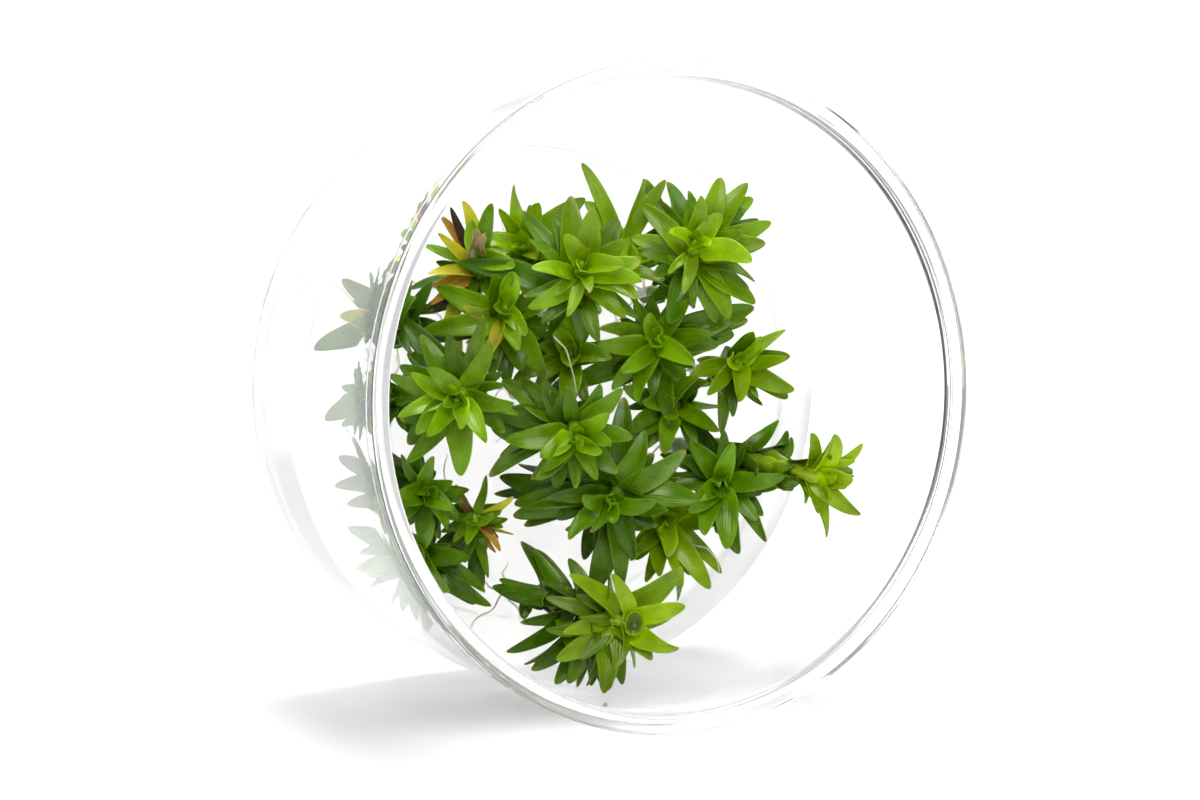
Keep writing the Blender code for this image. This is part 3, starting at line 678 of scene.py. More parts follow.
@dataclass(frozen=True)
class Growth:
    """The sizes that all shoots share, of their leaves, bud, stem and roots."""

    solid_stem: float = 1.25
    half_share: float = 0.145
    half_range: tuple[float, float] = (0.75, 1.7)
    rises: tuple[tuple[float, float], ...] = ((3.0, 0.75), (6.0, 0.35), (99.0, -0.2))
    mouth_limit: float = 35.2
    turn_to_view: float = 0.8
    old_depth: float = 9.0
    tip_reach: float = 0.02
    spiral_leaves: int = 3
    spiral_start: float = 1.5
    spiral_step: float = 2.1
    spiral_turn: float = 3.0
    spiral_back: float = 0.15
    spiral_opening: tuple[float, float, float] = (50.0, 7.0, 95.0)
    spiral_close: float = 0.06
    spiral_reach: float = 0.92
    spiral_age: tuple[float, float] = (0.3, 0.1)
    filling_age: float = 0.25
    clasp_end: float = 1.2
    clasp_yellow: float = 0.25
    clasp_seat: float = 0.8
    clasp_half: tuple[float, float] = (0.85, 1.05)
    clasp_age: tuple[float, float] = (0.5, 1.0)
    bud_sway: float = 9.0
    bud_lengths: tuple[float, float] = (0.82, 1.15)
    bud_seat: tuple[float, float] = (0.35, 0.25)
    stem_waist: tuple[float, float, float] = (0.84, 0.08, 55.0)
    stem_foot: tuple[float, ...] = (1.0, 0.96, 0.8, 0.5, 0.2)
    foot_radii: tuple[float, ...] = (0.35, 0.55, 0.70, 0.85)
    stem_bud: tuple[float, float] = (0.5, 0.95)
    bud_radii: tuple[float, float] = (0.6, 0.25)
    neck_radius: float = 0.9
    stem_green: tuple[float, float, float] = (0.10, 0.12, 0.02)
    stem_shades: tuple[float, float] = (0.8, 1.2)
    foot_colour: tuple[float, float, float] = (0.34, 0.30, 0.10)
    foot_run: tuple[float, float] = (0.16, 0.02)
    root_start: tuple[float, float] = (0.55, 0.95)
    root_stray: float = 0.3
    root_reach: tuple[float, float] = (4.0, 11.0)
    root_fall: tuple[float, float] = (0.5, 6.5)
    root_bend: float = 0.35
    root_dip: tuple[float, float] = (0.0, 5.0)
    root_sways: tuple[float, float] = (5.0, 11.0)
    root_sway: float = 0.8
    root_radii: tuple[float, float] = (0.26, 0.17)
    root_colour: tuple[float, float, float] = (0.58, 0.50, 0.30)
    thread_radii: tuple[float, float] = (0.16, 0.07)
    thread_colour: tuple[float, float, float] = (0.62, 0.64, 0.50)

    def half_width(self, start: np.ndarray, tip: np.ndarray) -> float:
        """A leaf's half width, from its length.

        Args:
            start: where the leaf starts.
            tip: where it ends.

        Returns:
            A share of the length, kept within a range.
        """
        least, most = self.half_range
        return min(max(float(np.linalg.norm(tip - start)) * self.half_share, least), most)


GROWTH = Growth()


@dataclass
class Shoot:
    """One shoot: its stem, the leaves that its solid has, and the ones that fill it out.

    A leaf is (compass angle, reach, how far down the stem it starts) and, where it isn't of the usual width,
    a width factor. tints names the tone of single leaves by their place in measured and filling together. A
    young leaf of the bud is (opening from the stem, length, half width). A thread is an air root, given by
    places as (right, up, towards the view) from the top. clasp is how far the leaves down the stem open, and
    funnel rolls the youngest leaf into an open tube.
    """

    name: str
    root: tuple[float, float]
    top: tuple[float, float, float]
    measured: tuple[tuple[float, ...], ...]
    tone: Tone = Tone.GREEN
    leaf_length: float = 11.0
    slot: str = "leaf_green"
    filling: tuple[tuple[float, ...], ...] = ()
    tints: dict[int, Tone] = field(default_factory=dict)
    bud: float = 1.0
    young: tuple[tuple[float, float, float], ...] = (
        (58, 7.4, 1.40),
        (40, 6.4, 1.35),
        (22, 5.2, 1.25),
        (9, 4.4, 1.00),
    )
    threads: tuple[tuple[tuple[float, float, float], ...], ...] = ()
    clasp: tuple[float, float] = (32.0, 60.0)
    clasp_reach: tuple[float, float] = (0.50, 0.80)
    roots: int = 5
    funnel: bool = False
    stem_radius: float = 1.25
    bud_length: float = 3.0
    socket_depth: float = 6.0
    first_clasp: float = 5.0
    clasp_step: float = 1.7
    stem_straight: float = 1.0
    stem_bow: float = 0.6
    stem_steps: int = 2

    @property
    def bezier(self) -> tuple[np.ndarray, np.ndarray, np.ndarray]:
        """The three control points of the stem's bow."""
        return (
            AXES.inside(*self.root, self.stem_straight),
            AXES.inside(*self.root, self.top[2] * self.stem_bow),
            AXES.inside(*self.top),
        )

    @property
    def route(self) -> list[np.ndarray]:
        """The stem's route in straight runs, from which its leaves are measured."""
        start, bend, top = self.bezier
        route = [AXES.inside(*self.root, -self.socket_depth), start]
        for number in range(1, self.stem_steps + 1):
            t = number / self.stem_steps
            route.append(curve(start, bend, top, t))
        return route

    def down_the_stem(self, distance: float) -> tuple[np.ndarray, np.ndarray]:
        """The place and the direction of the stem at a distance below its top.

        Args:
            distance: how far below the top, along the route.

        Returns:
            The place, and the way that the stem grows there.
        """
        route = self.route
        for upper, lower in zip(reversed(route), reversed(route[:-1]), strict=False):
            step = float(np.linalg.norm(upper - lower))
            if distance <= step:
                return upper + (lower - upper) * (distance / step), unit(upper - lower)
            distance -= step
        return route[1], AXES.axis

    def seated(self, core: np.ndarray, along: np.ndarray, tip: np.ndarray) -> np.ndarray:
        """Where a leaf starts: half the stem's radius from its middle, on the leaf's side.

        Args:
            core: the middle of the stem there.
            along: the way that the stem grows there.
            tip: the leaf's tip.

        Returns:
            The place.
        """
        spoke = tip - core - along * ((tip - core) @ along)
        return core + unit(spoke) * (GROWTH.solid_stem / 2)

    def seen_leaf(self, measured: tuple[float, ...], nudge: tuple[float, float, float]) -> Leaf:
        """A leaf whose tip lies where it was measured, moved by a nudge.

        Args:
            measured: compass angle, reach, how far down, and perhaps a width factor.
            nudge: how far towards the view, a turn and a factor on the reach.

        Returns:
            The leaf.
        """
        angle, reach, down, *rest = measured
        lift, turn, shrink = nudge
        core, along = self.down_the_stem(down)
        angle, reach = math.radians(angle + turn), reach * shrink
        top = AXES.inside(*self.top)
        flat = top + RIGHT * (reach * math.cos(angle)) + UPWARD * (reach * math.sin(angle))
        gap = flat - core
        apart = gap - TOWARD * (gap @ TOWARD)
        spare = math.sqrt(max(self.leaf_length**2 - float(apart @ apart), 1.0))
        rise = next(share for limit, share in GROWTH.rises if down < limit)
        tip = flat - TOWARD * (gap @ TOWARD) + TOWARD * (spare * rise + lift)
        too_far = float(AXES.out_of(tip)) - GROWTH.mouth_limit
        if too_far > 0:
            tip = tip + LOOK * (too_far / float(AXES.axis @ TOWARD))
        start = self.seated(core, along, tip)
        half = GROWTH.half_width(start, tip) * (rest[0] if rest else 1.0)
        facing = unit(along + TOWARD * GROWTH.turn_to_view)
        return Leaf(start, tip, along, facing, half, min(down / GROWTH.old_depth, 1.0), self.tone)

    def spiral_leaf(self, number: int, nudge: tuple[float, float, float]) -> Leaf:
        """A leaf of the spiral on the side that faces away.

        Args:
            number: how many leaves of the spiral come before it.
            nudge: a share of closing, a turn and a factor on the length.

        Returns:
            The leaf.
        """
        lift, turn, shrink = nudge
        core, along = self.down_the_stem(GROWTH.spiral_start + GROWTH.spiral_step * number)
        spoke = turned_aside(along, GOLDEN_ANGLE * number + math.radians(GROWTH.spiral_turn * turn))
        if spoke @ TOWARD > GROWTH.spiral_back:
            spoke = spoke - TOWARD * (2 * (spoke @ TOWARD))
        first, widening, widest = GROWTH.spiral_opening
        opening = math.radians(min(first + widening * number, widest)) - lift * GROWTH.spiral_close
        way = along * math.cos(opening) + spoke * math.sin(opening)
        tip = core + way * (self.leaf_length * GROWTH.spiral_reach * shrink)
        start = self.seated(core, along, tip)
        youngest, ageing = GROWTH.spiral_age
        half = GROWTH.half_width(start, tip)
        return Leaf(start, tip, along, along, half, youngest + ageing * number, self.tone)

    def solid_leaves(self, corners: np.ndarray) -> list[Leaf]:
        """The leaves that the solid has, each found by the corner at its tip.

        Args:
            corners: the corners of the shoot's solid.

        Returns:
            The leaves, in the order of the list and then of the spiral.
        """

        def fits(leaf: Leaf) -> bool:
            """Whether the solid has a corner at this leaf's tip."""
            return bool((np.abs(corners - leaf.tip).max(axis=1) < GROWTH.tip_reach).any())

        found = []
        for place, measured in enumerate(self.measured):
            choices = (self.seen_leaf(measured, nudge) for nudge in NUDGES)
            leaf = next(filter(fits, choices), None)
            if leaf is None:
                LOG.warning("%s: leaf %d isn't in the solid", self.name, place)
                continue
            leaf.tone = self.tints.get(place, self.tone)
            found.append(leaf)
        for number in range(GROWTH.spiral_leaves):
            choices = (self.spiral_leaf(number, nudge) for nudge in NUDGES)
            found += list(filter(fits, choices))[:1]
        return found

    def filling_leaves(self) -> list[Leaf]:
        """The lower leaves between those of the solid, kept clear of the wall and the gel.

        Returns:
            Those that leave the gaps of the clump open.
        """
        made = []
        for place, measured in enumerate(self.filling, len(self.measured)):
            leaf = self.seen_leaf(measured, NUDGES[0])
            leaf.tip = AXES.kept_in(leaf.tip)
            leaf.tone = self.tints.get(place, self.tone)
            leaf.age = min(leaf.age + GROWTH.filling_age, 1.0)
            if leaves_open(leaf.spine):
                made.append(leaf)
        return made

    def stem_leaves(self, seed: int) -> list[Leaf]:
        """The leaves that clasp the stem all the way down to the gel, a golden angle apart.

        Args:
            seed: picks how far each one opens, its length and its age.

        Returns:
            Those that leave the gaps of the clump open.
        """
        random = np.random.default_rng(seed + CLASP_SEED)
        runs = zip(self.route[1:], self.route[2:], strict=False)
        length = sum(float(np.linalg.norm(upper - lower)) for lower, upper in runs)
        made = []
        distances = np.arange(self.first_clasp, length - GROWTH.clasp_end, self.clasp_step)
        for number, distance in enumerate(distances):
            core, along = self.down_the_stem(float(distance))
            out = turned_aside(along, GOLDEN_ANGLE * number + seed)
            opening = math.radians(random.uniform(*self.clasp))
            reach = self.leaf_length * random.uniform(*self.clasp_reach)
            tip = AXES.kept_in(core + (along * math.cos(opening) + out * math.sin(opening)) * reach)
            old = float(distance) / length
            tone = Tone.YELLOW if random.random() < GROWTH.clasp_yellow * old**2 else self.tone
            start = core + out * self.stem_radius * GROWTH.clasp_seat
            half = self.stem_radius * random.uniform(*GROWTH.clasp_half)
            leaf = Leaf(start, tip, along, along, half, random.uniform(*GROWTH.clasp_age), tone)
            leaf.fold, leaf.sheath = 0.55, 1.0
            if leaves_open(leaf.spine):
                made.append(leaf)
        return made

    def bud_leaves(self, seed: int) -> list[Leaf]:
        """The young leaves that close the shoot's top, each a golden angle on and less open.

        Args:
            seed: where the spiral starts.

        Returns:
            The leaves, the outermost first.
        """
        core, along = self.down_the_stem(0.0)
        random = np.random.default_rng(seed + BUD_SEED)
        beside, above = GROWTH.bud_seat
        made = []
        for number, (opening, length, half) in enumerate(self.young):
            out = turned_aside(along, GOLDEN_ANGLE * number + seed)
            opening = math.radians(opening + random.uniform(-GROWTH.bud_sway, GROWTH.bud_sway))
            length *= self.bud * random.uniform(*GROWTH.bud_lengths)
            way = along * math.cos(opening) + out * math.sin(opening)
            start = core + out * beside + along * above * number
            leaf = Leaf(start, start + way * length, along, along, half * self.bud, 0.0, self.tone)
            leaf.fold, leaf.bow, leaf.sheath = 0.75, 0.22, 0.9
            made.append(leaf)
        return made

    def add_stem(self, parts: MeshParts, rings: int = 34, around: int = 12) -> None:
        """Adds the stem: a round tube along its bow, with a slight swelling at each leaf and a tapered foot.

        Args:
            parts: what the stem is added to.
            rings: how many rings.
            around: how many steps round each.
        """
        start, bend, top = self.bezier
        foot = [AXES.inside(*self.root, -self.socket_depth * share) for share in GROWTH.stem_foot]
        along = unit(self.route[-1] - self.route[-2])
        bud = [top + along * self.bud_length * share for share in GROWTH.stem_bud]
        t = np.linspace(0.0, 1.0, rings - len(foot) - len(bud))[:, None]
        path = np.concatenate([foot, curve(start, bend, top, t), bud])
        run = np.linspace(0.0, 1.0, rings)
        mean, swelling, swellings = GROWTH.stem_waist
        radius = self.stem_radius * (mean + swelling * np.sin(run * swellings))
        radius[:4] *= GROWTH.foot_radii
        radius[-2:] *= GROWTH.bud_radii
        radius[-5:-2] *= GROWTH.neck_radius
        young, grown = (np.array(colour) for colour in self.tone.value)
        share = smooth(1.0, 0.2, run)[:, None]
        foot_share = smooth(*GROWTH.foot_run, run)[:, None]
        paler, darker = GROWTH.stem_shades
        colour = (young * paler + np.array(GROWTH.stem_green)) * (1 - share) + grown * darker * share
        colour = colour * (1 - foot_share) + np.array(GROWTH.foot_colour) * foot_share
        tube = tube_rings(path[None], radius[None], around)
        self.add_tubes(parts, tube, path[[0, -1]][None], colour[None])

    def add_tubes(self, parts: MeshParts, rings: np.ndarray, ends: np.ndarray, colours: np.ndarray) -> None:
        """Adds plain tubes, with the pattern's places along and round them.

        Args:
            parts: what the tubes are added to.
            rings: places as (tube, ring, step, xyz).
            ends: the closing points as (tube, 2, xyz).
            colours: one colour for each ring, as (tube, ring, 3).
        """
        made = np.ones((*rings.shape[:3], 4))
        made[..., :3] = colours[:, :, None]
        uvs = np.zeros((*rings.shape[:3], 2))
        uvs[..., 0] = np.arange(rings.shape[2]) / rings.shape[2]
        uvs[..., 1] = np.linspace(0.0, 2.0, rings.shape[1])[None, :, None]
        parts.add_tubes(rings, ends, uvs, made)

    def add_roots(self, parts: MeshParts, seed: int) -> None:
        """Adds thin pale roots that wander from the stem's foot into the gel.

        A root is the curve from foot over bend to end, with a sine sway across it that grows with t.

        Args:
            parts: what the roots are added to.
            seed: picks their ways.
        """
        random = np.random.default_rng(seed + ROOT_SEED)
        many, t = self.roots, np.linspace(0.0, 1.0, 16)[None, :, None]
        each = (many, 1)
        foot = AXES.inside(*self.root, -random.uniform(*GROWTH.root_start) * self.socket_depth)
        stray = random.uniform(-GROWTH.root_stray, GROWTH.root_stray, many)
        turn = 2 * math.pi * (np.arange(many) + stray) / many
        way = np.cos(turn)[:, None] * AXES.across + np.sin(turn)[:, None] * AXES.up_disc
        reach = random.uniform(*GROWTH.root_reach, each)
        end = foot + way * reach - AXES.axis * random.uniform(*GROWTH.root_fall, each)
        end = np.array([AXES.kept_in_gel(place) for place in end])
        bend = foot + way * reach * GROWTH.root_bend - AXES.axis * random.uniform(*GROWTH.root_dip, each)
        bend = np.array([AXES.kept_in_gel(place) for place in bend])
        path = curve(foot, bend[:, None], end[:, None], t)
        beside = np.cross(way, AXES.axis)[:, None]
        sway = np.sin(t * random.uniform(*GROWTH.root_sways, (many, 1, 1)))
        path = path + beside * sway * t * GROWTH.root_sway
        thick, thinning = GROWTH.root_radii
        radii = np.broadcast_to(thick - thinning * t[..., 0], path.shape[:2])
        colours = np.broadcast_to(np.array(GROWTH.root_colour), path.shape)
        self.add_tubes(parts, tube_rings(path, radii, 6), path[:, [0, -1]], colours)

    def add_threads(self, parts: MeshParts) -> None:
        """Adds the air roots: each a smooth line through its places, thin and whitish.

        Args:
            parts: what they are added to.
        """
        thick, thinning = GROWTH.thread_radii
        for places in self.threads:
            marks = AXES.inside(*self.top) + np.array(places) @ np.stack([RIGHT, UPWARD, TOWARD])
            t = np.linspace(0.0, len(marks) - 1.0, 24)
            path = np.stack([np.interp(t, np.arange(len(marks)), marks[:, k]) for k in range(3)], axis=-1)
            soft = path.copy()
            soft[1:-1] = (path[:-2] + 2 * path[1:-1] + path[2:]) / 4
            radii = thick - thinning * t / t[-1]
            colours = np.broadcast_to(np.array(GROWTH.thread_colour), soft.shape)
            rings = tube_rings(soft[None], radii[None], 8)
            self.add_tubes(parts, rings, soft[[0, -1]][None], colours[None])

    def add_funnel(self, parts: MeshParts) -> None:
        """Adds the youngest leaf, rolled into an open tube whose hollow and foot are darkened by painted
        shade.

        The outline goes up outside, over the lip and down inside, and is turned round a line that leans from
        the stem's direction towards the view. Each point is (radius, height, share of painted shade there),
        the share taking the colour from the young tone towards half the grown one.

        Args:
            parts: what it is added to.
        """
        core, along = self.down_the_stem(0.0)
        along = unit(along * 0.3 + TOWARD + UPWARD * 0.2)
        outline = np.array(
            [
                (0.7, -0.5, 0.6), (1.2, 0.6, 0.4), (1.5, 1.6, 0.3), (1.7, 2.5, 0.25), (1.62, 2.6, 0.3),
                (1.5, 2.5, 0.5), (1.3, 2.2, 0.7), (1.0, 1.9, 0.9), (0.5, 1.7, 1.0),
            ]
        )
        radius, height, share = (outline[:, column, None, None] for column in range(3))
        side = turned_aside(along, 0.0)
        over = np.cross(along, side)
        angle = 2.0 * math.pi * np.arange(20) / 20
        spoke = side * np.cos(angle)[:, None] + over * np.sin(angle)[:, None]
        wave = 1.0 + 0.16 * np.sin(2 * angle + 0.6)[None, :, None]
        rings = core + along * height + spoke[None] * radius * wave
        young, grown = (np.array(colour) for colour in self.tone.value)
        share = share[:, 0]
        # painted shade: the colour goes toward half the grown tone at the foot and inside the hollow
        colour = np.clip(young * (1 - share) + grown * 0.5 * share, 0.005, 1.0)
        ends = core + along * np.array([[-0.6], [1.65]])
        self.add_tubes(parts, rings[None], ends[None], colour[None])

    def build(self, node: bpy.types.Object, shape: LeafShape, finish: bpy.types.Material, seed: int) -> None:
        """Makes the shoot as one piece in place of its solid.

        Args:
            node: the shoot's solid.
            shape: how the blades are formed.
            finish: the material.
            seed: picks the small differences.
        """
        corners = np.empty(len(node.data.vertices) * 3)
        node.data.vertices.foreach_get("co", corners)
        leaves = self.solid_leaves(corners.reshape(-1, 3) / MM)
        leaves += self.filling_leaves() + self.stem_leaves(seed) + self.bud_leaves(seed)
        parts = MeshParts()
        shape.add(parts, leaves, seed)
        self.add_stem(parts)
        self.add_roots(parts, seed)
        self.add_threads(parts)
        if self.funnel:
            self.add_funnel(parts)
        piece = new_piece(self.name.replace("shoot_", "") + "_plant", parts.fill(self.name), finish)
        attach(piece, "root")
        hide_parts(self.name)
        LOG.info("%s: %d leaves, %d faces", piece.name, len(leaves), len(piece.data.polygons))


# The shoots of the clump, from the front of the cup to its back.
SHOOTS: tuple[Shoot, ...] = (
    Shoot(
        "shoot_lower_front",
        root=(-9.0, -32.0), top=(-1.1, -35.2, 24.0),
        measured=(
            (110, 8.4, 0.5), (141, 12.0, 2.5), (20, 8.8, 1.0), (336, 8.0, 1.0), (249, 6.5, 1.5),
            (206, 12.7, 3.0), (187, 10.3, 3.5), (48, 11.6, 4.0), (163, 13.7, 5.0), (184, 13.0, 5.5),
            (156, 15.1, 7.0), (235, 11.8, 5.0), (249, 11.4, 4.5), (229, 13.5, 6.5), (135, 13.7, 7.5),
            (300, 6.3, 3.5), (206, 17.1, 9.0), (181, 17.2, 10.0), (194, 19.9, 11.5), (144, 18.7, 12.0),
            (145, 21.1, 13.5), (163, 21.5, 14.0), (167, 22.3, 15.5),
        ),
        filling=(
            (168, 20.5, 12.0, 1.2), (220, 12.9, 6.0, 1.2), (202, 17.8, 9.5, 1.3), (113, 8.8, 5.0, 1.2),
            (152, 9.5, 4.5, 1.2), (172, 8.0, 3.0), (215, 9.5, 4.5, 1.1), (262, 9.5, 5.0), (231, 13.3, 9.0),
            (238, 11.6, 8.0), (251, 11.2, 7.5), (222, 16.0, 9.0),
        ),
        tone=Tone.BRIGHT, slot="leaf_bright", young=(), funnel=True,
    ),
    Shoot(
        "shoot_upper_middle",
        root=(-3.0, 11.0), top=(-9.4, 19.1, 27.0),
        measured=(
            (292, 4.0, 0.5, 0.8), (349, 9.4, 1.5), (8, 9.0, 2.0), (333, 9.7, 2.5), (313, 9.8, 3.0),
            (79, 9.1, 2.0), (31, 8.6, 3.0), (256, 7.4, 1.5, 0.8), (98, 11.3, 4.0, 1.15), (284, 11.0, 5.0),
            (180, 7.1, 2.5), (216, 9.7, 4.0), (135, 12.9, 7.0), (176, 19.1, 11.0), (242, 11.0, 7.0),
        ),
        filling=(
            (320, 11.3, 5.0), (271, 10.8, 6.0, 1.2), (233, 10.0, 5.5), (205, 9.5, 5.0, 1.1),
            (150, 9.0, 4.0, 1.1), (118, 9.5, 5.0, 1.1), (55, 9.5, 4.5, 1.1), (295, 9.0, 4.0),
        ),
        threads=(((-4.1, -9.9, -3.0), (-2.2, -11.8, -3.2), (-1.0, -16.2, -3.6), (-0.7, -18.4, -4.5)),),
    ),
    Shoot(
        "shoot_upper_right",
        root=(17.0, 14.0), top=(11.0, 21.5, 25.0),
        measured=(
            (346, 9.1, 0.5), (258, 7.3, 1.0, 0.9), (69, 11.6, 2.0, 1.05), (51, 13.1, 3.5), (41, 12.1, 4.0),
            (19, 12.6, 3.0), (4, 11.0, 2.5), (332, 10.7, 3.5), (319, 12.6, 4.5), (297, 12.0, 3.5),
            (287, 11.7, 5.0), (82, 7.8, 1.0), (139, 10.5, 3.0), (170, 9.7, 4.0), (127, 9.6, 5.5),
            (111, 11.4, 8.0, 0.8), (124, 13.4, 9.0, 0.8),
        ),
        filling=(
            (252, 12.1, 5.5, 1.2), (229, 10.3, 6.0, 1.2), (215, 7.5, 5.0, 1.2), (38, 10.0, 4.5, 1.2),
            (25, 11.0, 4.5, 1.1), (324, 10.6, 5.5, 1.2), (270, 9.0, 4.5), (185, 8.0, 4.5, 1.1),
            (95, 9.0, 4.0), (97, 7.6, 3.0, 0.25), (88, 7.7, 3.0, 0.25),
        ),
    ),
    Shoot(
        "shoot_right_front",
        root=(21.0, -11.0), top=(27.9, -14.1, 31.0),
        measured=(
            (97, 6.7, 1.5), (68, 5.8, 1.0, 0.6), (35, 8.8, 1.0, 0.65), (21, 6.6, 0.5, 0.7),
            (1, 6.0, 1.0, 0.8), (340, 5.1, 1.5, 0.8), (320, 9.2, 1.0), (281, 9.7, 2.0), (120, 6.8, 8.0),
            (120, 8.0, 9.5), (175, 5.4, 9.0), (122, 10.0, 15.0),
        ),
        filling=(
            (183, 3.2, 5.5, 1.4), (205, 4.2, 6.5, 1.3), (150, 4.0, 6.0, 1.2), (190, 5.5, 8.5, 1.3),
            (250, 4.5, 3.0), (80, 4.5, 3.0),
        ),
        tone=Tone.BRIGHT, leaf_length=10.0, slot="leaf_bright", clasp=(13.0, 36.0),
        clasp_reach=(0.60, 0.95), stem_radius=1.6,
    ),
    Shoot(
        "shoot_left_front",
        root=(-20.0, 3.0), top=(-29.2, 1.1, 25.0),
        measured=(
            (135, 5.8, 0.5), (199, 9.1, 1.0), (234, 7.0, 1.0), (162, 10.8, 2.5), (231, 12.3, 3.0),
            (271, 11.6, 3.0, 1.2), (303, 7.9, 2.0), (344, 9.2, 3.0), (15, 7.2, 3.5), (61, 9.7, 3.0, 1.1),
            (75, 12.6, 5.0), (122, 11.0, 5.5), (127, 15.3, 8.0),
        ),
        filling=(
            (100, 9.5, 4.5, 1.3), (152, 10.0, 4.5, 1.2), (140, 10.5, 6.0, 1.2), (222, 10.5, 5.5, 1.1),
            (200, 9.5, 5.5, 1.1), (252, 9.0, 5.0, 1.1), (30, 7.5, 4.5), (322, 8.5, 4.5, 1.1),
        ),
        tone=Tone.MID,
    ),
    Shoot(
        "shoot_centre_front",
        root=(-5.0, -2.0), top=(-11.2, -5.5, 27.0),
        measured=(
            (32, 6.2, 0.5), (345, 5.7, 1.0), (229, 6.9, 1.5), (184, 10.5, 3.0), (206, 14.6, 6.0, 0.8),
            (45, 9.9, 3.5), (144, 13.9, 6.0), (296, 7.5, 3.0), (134, 11.8, 5.0),
        ),
        filling=(
            (166, 13.4, 6.0, 1.2), (175, 13.0, 7.5, 1.3), (64, 8.5, 4.0, 1.1), (196, 12.0, 6.5, 1.1),
            (100, 7.5, 4.0, 1.1), (120, 9.5, 5.0, 1.1), (225, 9.5, 5.0, 1.1), (250, 8.5, 5.0, 1.1),
            (270, 8.0, 4.5), (318, 8.5, 4.5),
        ),
        tone=Tone.MID,
    ),
    Shoot(
        "shoot_right_middle",
        root=(26.0, 1.0), top=(22.3, 3.1, 17.0),
        measured=(
            (33, 9.3, 1.0), (6, 8.0, 1.5, 0.8), (335, 10.2, 1.5, 1.1), (326, 10.0, 3.0, 1.1),
            (303, 6.6, 3.5, 0.7), (196, 7.3, 2.5), (277, 6.0, 4.0), (304, 8.1, 6.0, 0.6),
            (260, 11.6, 5.0, 0.8),
        ),
        filling=(
            (176, 6.0, 3.0), (215, 6.5, 4.0), (60, 5.5, 2.5), (240, 6.0, 5.0), (268, 8.5, 4.5, 0.9),
        ),
        slot="leaf_bright",
        threads=(
            ((-4.6, 0.2, 1.0), (-3.6, -2.8, 0.5), (-2.0, -5.0, -1.0)),
            ((1.2, -0.6, 1.0), (0.9, -2.8, 1.0), (1.9, -5.2, 0.0)),
        ),
    ),
    Shoot(
        "shoot_middle_star",
        root=(14.0, 4.0), top=(8.0, 7.1, 18.0),
        measured=(
            (183, 9.1, 1.0), (168, 9.0, 2.0), (199, 17.8, 5.0), (227, 10.1, 2.0), (252, 9.8, 1.5),
            (20, 16.0, 4.0, 1.2), (52, 8.2, 2.0), (118, 7.3, 3.0), (228, 9.5, 4.5), (279, 13.0, 5.0),
        ),
        filling=(
            (4, 9.5, 5.0, 1.3), (14, 12.5, 5.0, 1.3), (100, 7.5, 3.5, 1.2), (70, 6.5, 3.0, 1.1),
            (145, 6.8, 4.0), (215, 8.5, 5.0), (265, 8.5, 5.0, 1.1), (300, 7.0, 4.0, 1.1), (325, 7.0, 4.5),
            (357, 9.5, 3.5, 1.3), (6, 12.0, 4.0, 1.3), (14, 14.5, 4.0, 1.2),
        ),
        tone=Tone.MID,
    ),
    Shoot(
        "shoot_centre_star",
        root=(6.0, -13.0), top=(-2.2, -16.4, 21.0),
        measured=(
            (183, 15.1, 4.0), (169, 17.8, 6.0), (178, 18.4, 7.5), (190, 15.5, 5.0), (197, 14.3, 6.0, 0.8),
            (178, 9.8, 2.5), (34, 13.6, 3.0), (65, 11.8, 3.5, 1.1), (257, 14.9, 5.0, 1.2),
            (276, 13.8, 4.0, 1.1), (236, 5.5, 1.0), (0, 13.4, 4.0, 1.2), (213, 8.5, 3.0), (245, 10.5, 8.0),
        ),
        filling=(
            (247, 12.5, 6.0, 1.2), (290, 9.8, 3.0, 1.3), (160, 15.5, 5.5, 1.1), (105, 7.5, 4.0, 1.2),
            (128, 9.0, 5.0, 1.1), (18, 11.0, 5.0), (84, 15.8, 5.0, 1.15), (150, 8.5, 4.0, 1.1),
            (330, 8.0, 4.0, 1.1), (200, 9.0, 5.0, 1.1), (265, 10.0, 5.5, 1.2), (48, 9.5, 4.5),
        ),
        tone=Tone.DARK, slot="leaf_dark",
    ),
    Shoot(
        "shoot_lower_right",
        root=(26.0, -15.0), top=(17.6, -15.2, 20.0),
        measured=(
            (252, 8.5, 1.0), (274, 10.3, 1.5), (284, 11.5, 2.0, 1.1), (307, 11.7, 3.5, 0.8),
            (313, 8.1, 4.0), (321, 8.4, 5.0, 0.8), (7, 9.9, 2.0), (127, 8.2, 2.0, 1.1), (87, 8.1, 3.0),
            (189, 12.9, 3.0), (156, 10.5, 4.0),
        ),
        filling=(
            (122, 12.0, 5.0, 1.4), (20, 7.5, 3.5, 1.2), (150, 7.5, 3.0, 1.2), (172, 9.0, 4.0, 1.2),
            (345, 6.5, 3.0, 1.2), (265, 8.0, 3.5, 1.2), (60, 7.5, 4.0, 1.1), (105, 8.0, 4.5, 1.2),
        ),
        tone=Tone.DARK, slot="leaf_dark",
    ),
    Shoot(
        "shoot_lower_middle",
        root=(14.0, -20.0), top=(10.6, -21.1, 14.0),
        measured=(
            (317, 12.2, 2.0, 0.6), (304, 12.8, 1.5), (285, 10.7, 1.0), (279, 13.0, 4.0, 0.8),
            (253, 10.1, 2.8, 0.8), (265, 8.6, 2.3), (25, 5.5, 1.0, 1.2), (234, 7.7, 4.0),
        ),
        filling=(
            (100, 6.0, 2.0, 1.1), (140, 6.5, 2.5, 1.1), (190, 6.0, 2.5), (295, 9.5, 3.0, 1.1),
            (225, 6.5, 2.5),
        ),
        tone=Tone.BRIGHT, slot="leaf_bright",
        threads=(((3.4, -3.6, 0.5), (6.6, -4.2, 0.8), (8.2, -6.0, 0.6), (8.6, -8.0, 0.2)),),
    ),
    Shoot(
        "shoot_lower_left",
        root=(-29.0, -12.0), top=(-31.9, -13.1, 18.0),
        measured=(
            (73, 5.5, 1.0), (20, 4.7, 1.0), (301, 6.6, 2.0), (124, 6.6, 4.0), (146, 13.9, 8.0),
